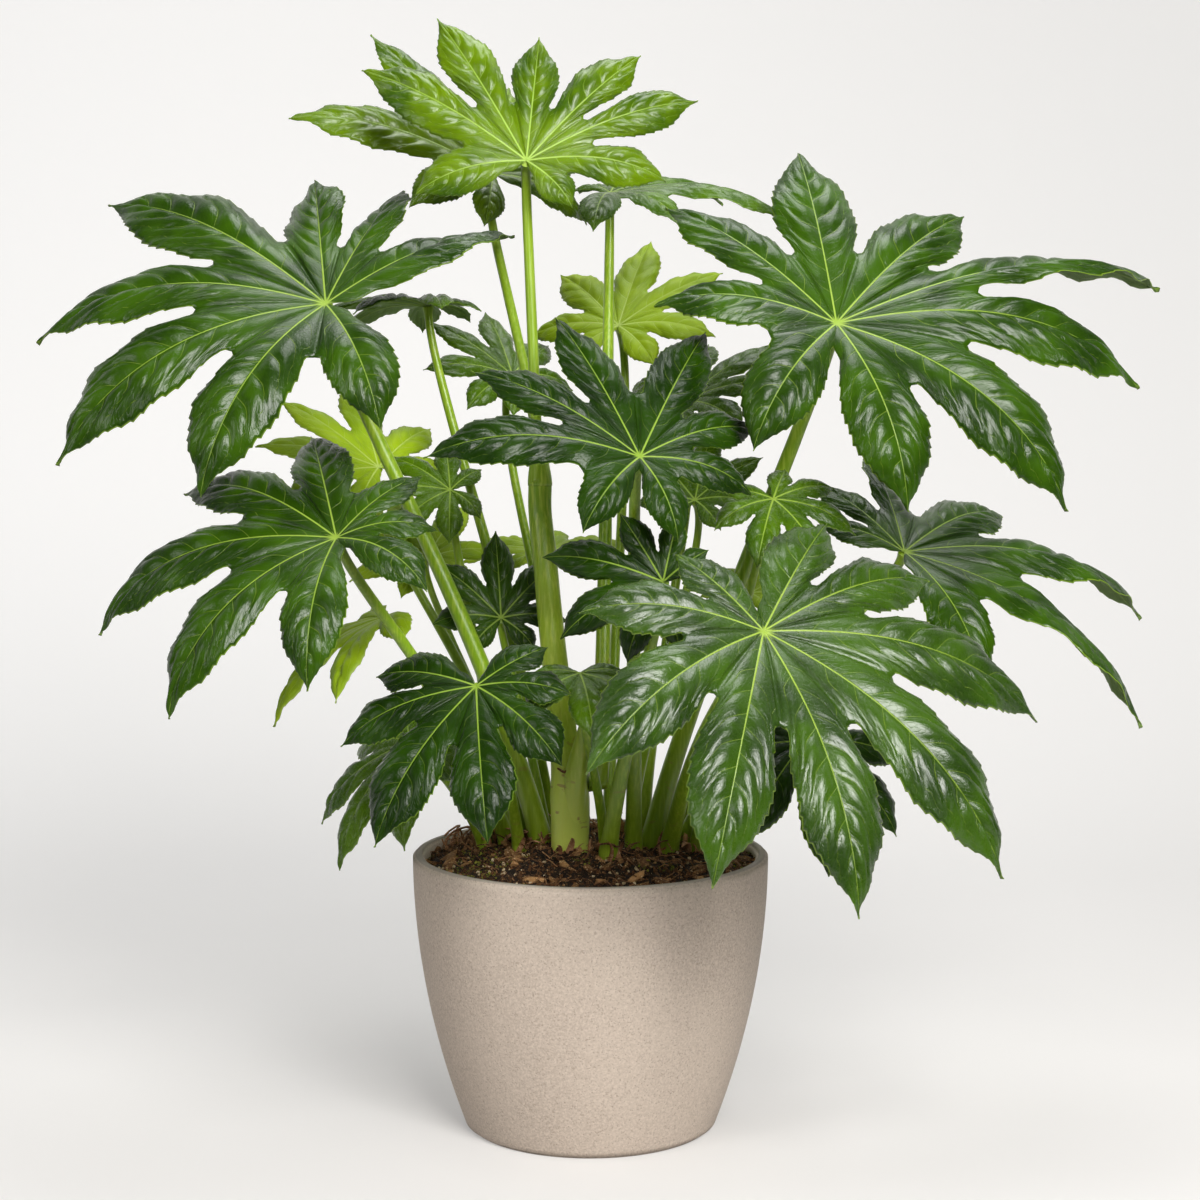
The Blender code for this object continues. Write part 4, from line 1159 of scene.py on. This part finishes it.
# The top faces of blades by their age and by painted light, in the order of LEAF_SKIN. The midrib
# and side veins are sunken in the face and raised on the back. The darkest is painted shade, the
# waxiest has painted light in its lighter greens, and the pale one is lightened with painted light
# as if lit from behind.
FACES = {
    "deep": ((0.0104, 0.0330, 0.0004, 1), (0.032, 0.086, 0.0008, 1), (0.30, 0.44, 0.05, 1),
             (0.26, 0.40, 0.04, 1), 0.27, 0.25),
    # Partly painted light: the deep face with lighter greens for the blade in the key light, and
    # glossier.
    "waxy": ((0.0130, 0.0370, 0.0009, 1), (0.036, 0.090, 0.0016, 1), (0.32, 0.46, 0.05, 1),
             (0.26, 0.40, 0.04, 1), 0.27, 0.28),
    # Painted shade: a darker, duller copy of the deep face, for blades in the shade of others.
    "shaded": ((0.0050, 0.0185, 0.0002, 1), (0.015, 0.047, 0.0003, 1), (0.26, 0.40, 0.04, 1),
            (0.22, 0.36, 0.03, 1), 0.16, 0.24),
    "mid": ((0.030, 0.078, 0.0010, 1), (0.076, 0.160, 0.0020, 1), (0.30, 0.44, 0.05, 1),
            (0.22, 0.35, 0.05, 1), 0.28, 0.27),
    "young": ((0.028, 0.074, 0.0001, 1), (0.122, 0.216, 0.0005, 1), (0.36, 0.54, 0.08, 1),
              (0.26, 0.42, 0.05, 1), 0.34, 0.21),
    # Painted light: greens lightened as if light shone through the blade from behind.
    "pale": ((0.20, 0.32, 0.002, 1), (0.30, 0.44, 0.006, 1), (0.46, 0.60, 0.14, 1),
             (0.40, 0.52, 0.12, 1), 0.36, 0.50)}
SUNKEN, RAISED = -1.0, 1.0
FACE_RELIEF, BACK_RELIEF = 0.35 * MM, 0.60 * MM
BACK_VEINS, BACK_GLOSS = 0.6, 0.55
SHEEN = {"deep": 0.29, "waxy": 0.50, "shaded": 0.20, "mid": 0.29, "young": 0.34, "pale": 0.29}


def paler(colour, share):
    """A colour drawn towards the dull light green of a blade's back."""
    return tuple(a + (b - a) * share for a, b in zip(colour, (0.26, 0.38, 0.13, 1)))


blade_finishes = {}
for tone, values in FACES.items():
    face = dict(zip(LEAF_SKIN, values + (SUNKEN,)))
    back = [paler(colour, 0.5) for colour in values[:4]] + [BACK_VEINS, BACK_GLOSS, RAISED]
    back = dict(zip(LEAF_SKIN, back))
    blade_finishes[tone] = [
        dress("leaf_face_" + tone, leaf_skin, face, FACE_RELIEF, SHEEN[tone]),
        dress("leaf_back_" + tone, leaf_skin, back, BACK_RELIEF, SHEEN[tone])]


# Leaves whose finish differs from their tone: four in the shade get the darkest, painted shade;
# the one in the key light gets the waxiest, partly painted light; and two young ones are as pale
# as those at the back, lightened with painted light as if lit from behind.
GROWN = {"rear_top": "pale", "low_right_rear": "pale", "low_left": "shaded", "centre": "shaded",
         "inner_front": "shaded", "low_right_under": "shaded", "front_right": "waxy"}
HEFTIEST = 3.0 * MM
HEFT_LEVELS = 60
for number, leaf in enumerate(LEAVES):
    blade = put_mesh(blade_sheet(leaf, number), *blade_finishes[GROWN.get(leaf.name, leaf.tone)])
    heft = np.empty(len(blade.data.vertices))
    blade.data.attributes["heft"].data.foreach_get("value", heft)
    levels = np.round(heft / HEFTIEST * HEFT_LEVELS)
    group = blade.vertex_groups.new(name="heft")
    for level in np.unique(levels):
        group.add(np.flatnonzero(levels == level).tolist(), level / HEFT_LEVELS, "REPLACE")
    thick = blade.modifiers.new("thickness", "SOLIDIFY")
    thick.thickness = HEFTIEST
    thick.offset = -1.0
    thick.vertex_group = group.name
    thick.material_offset = 1
    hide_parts("leaf_" + leaf.name)
    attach(blade, "root")
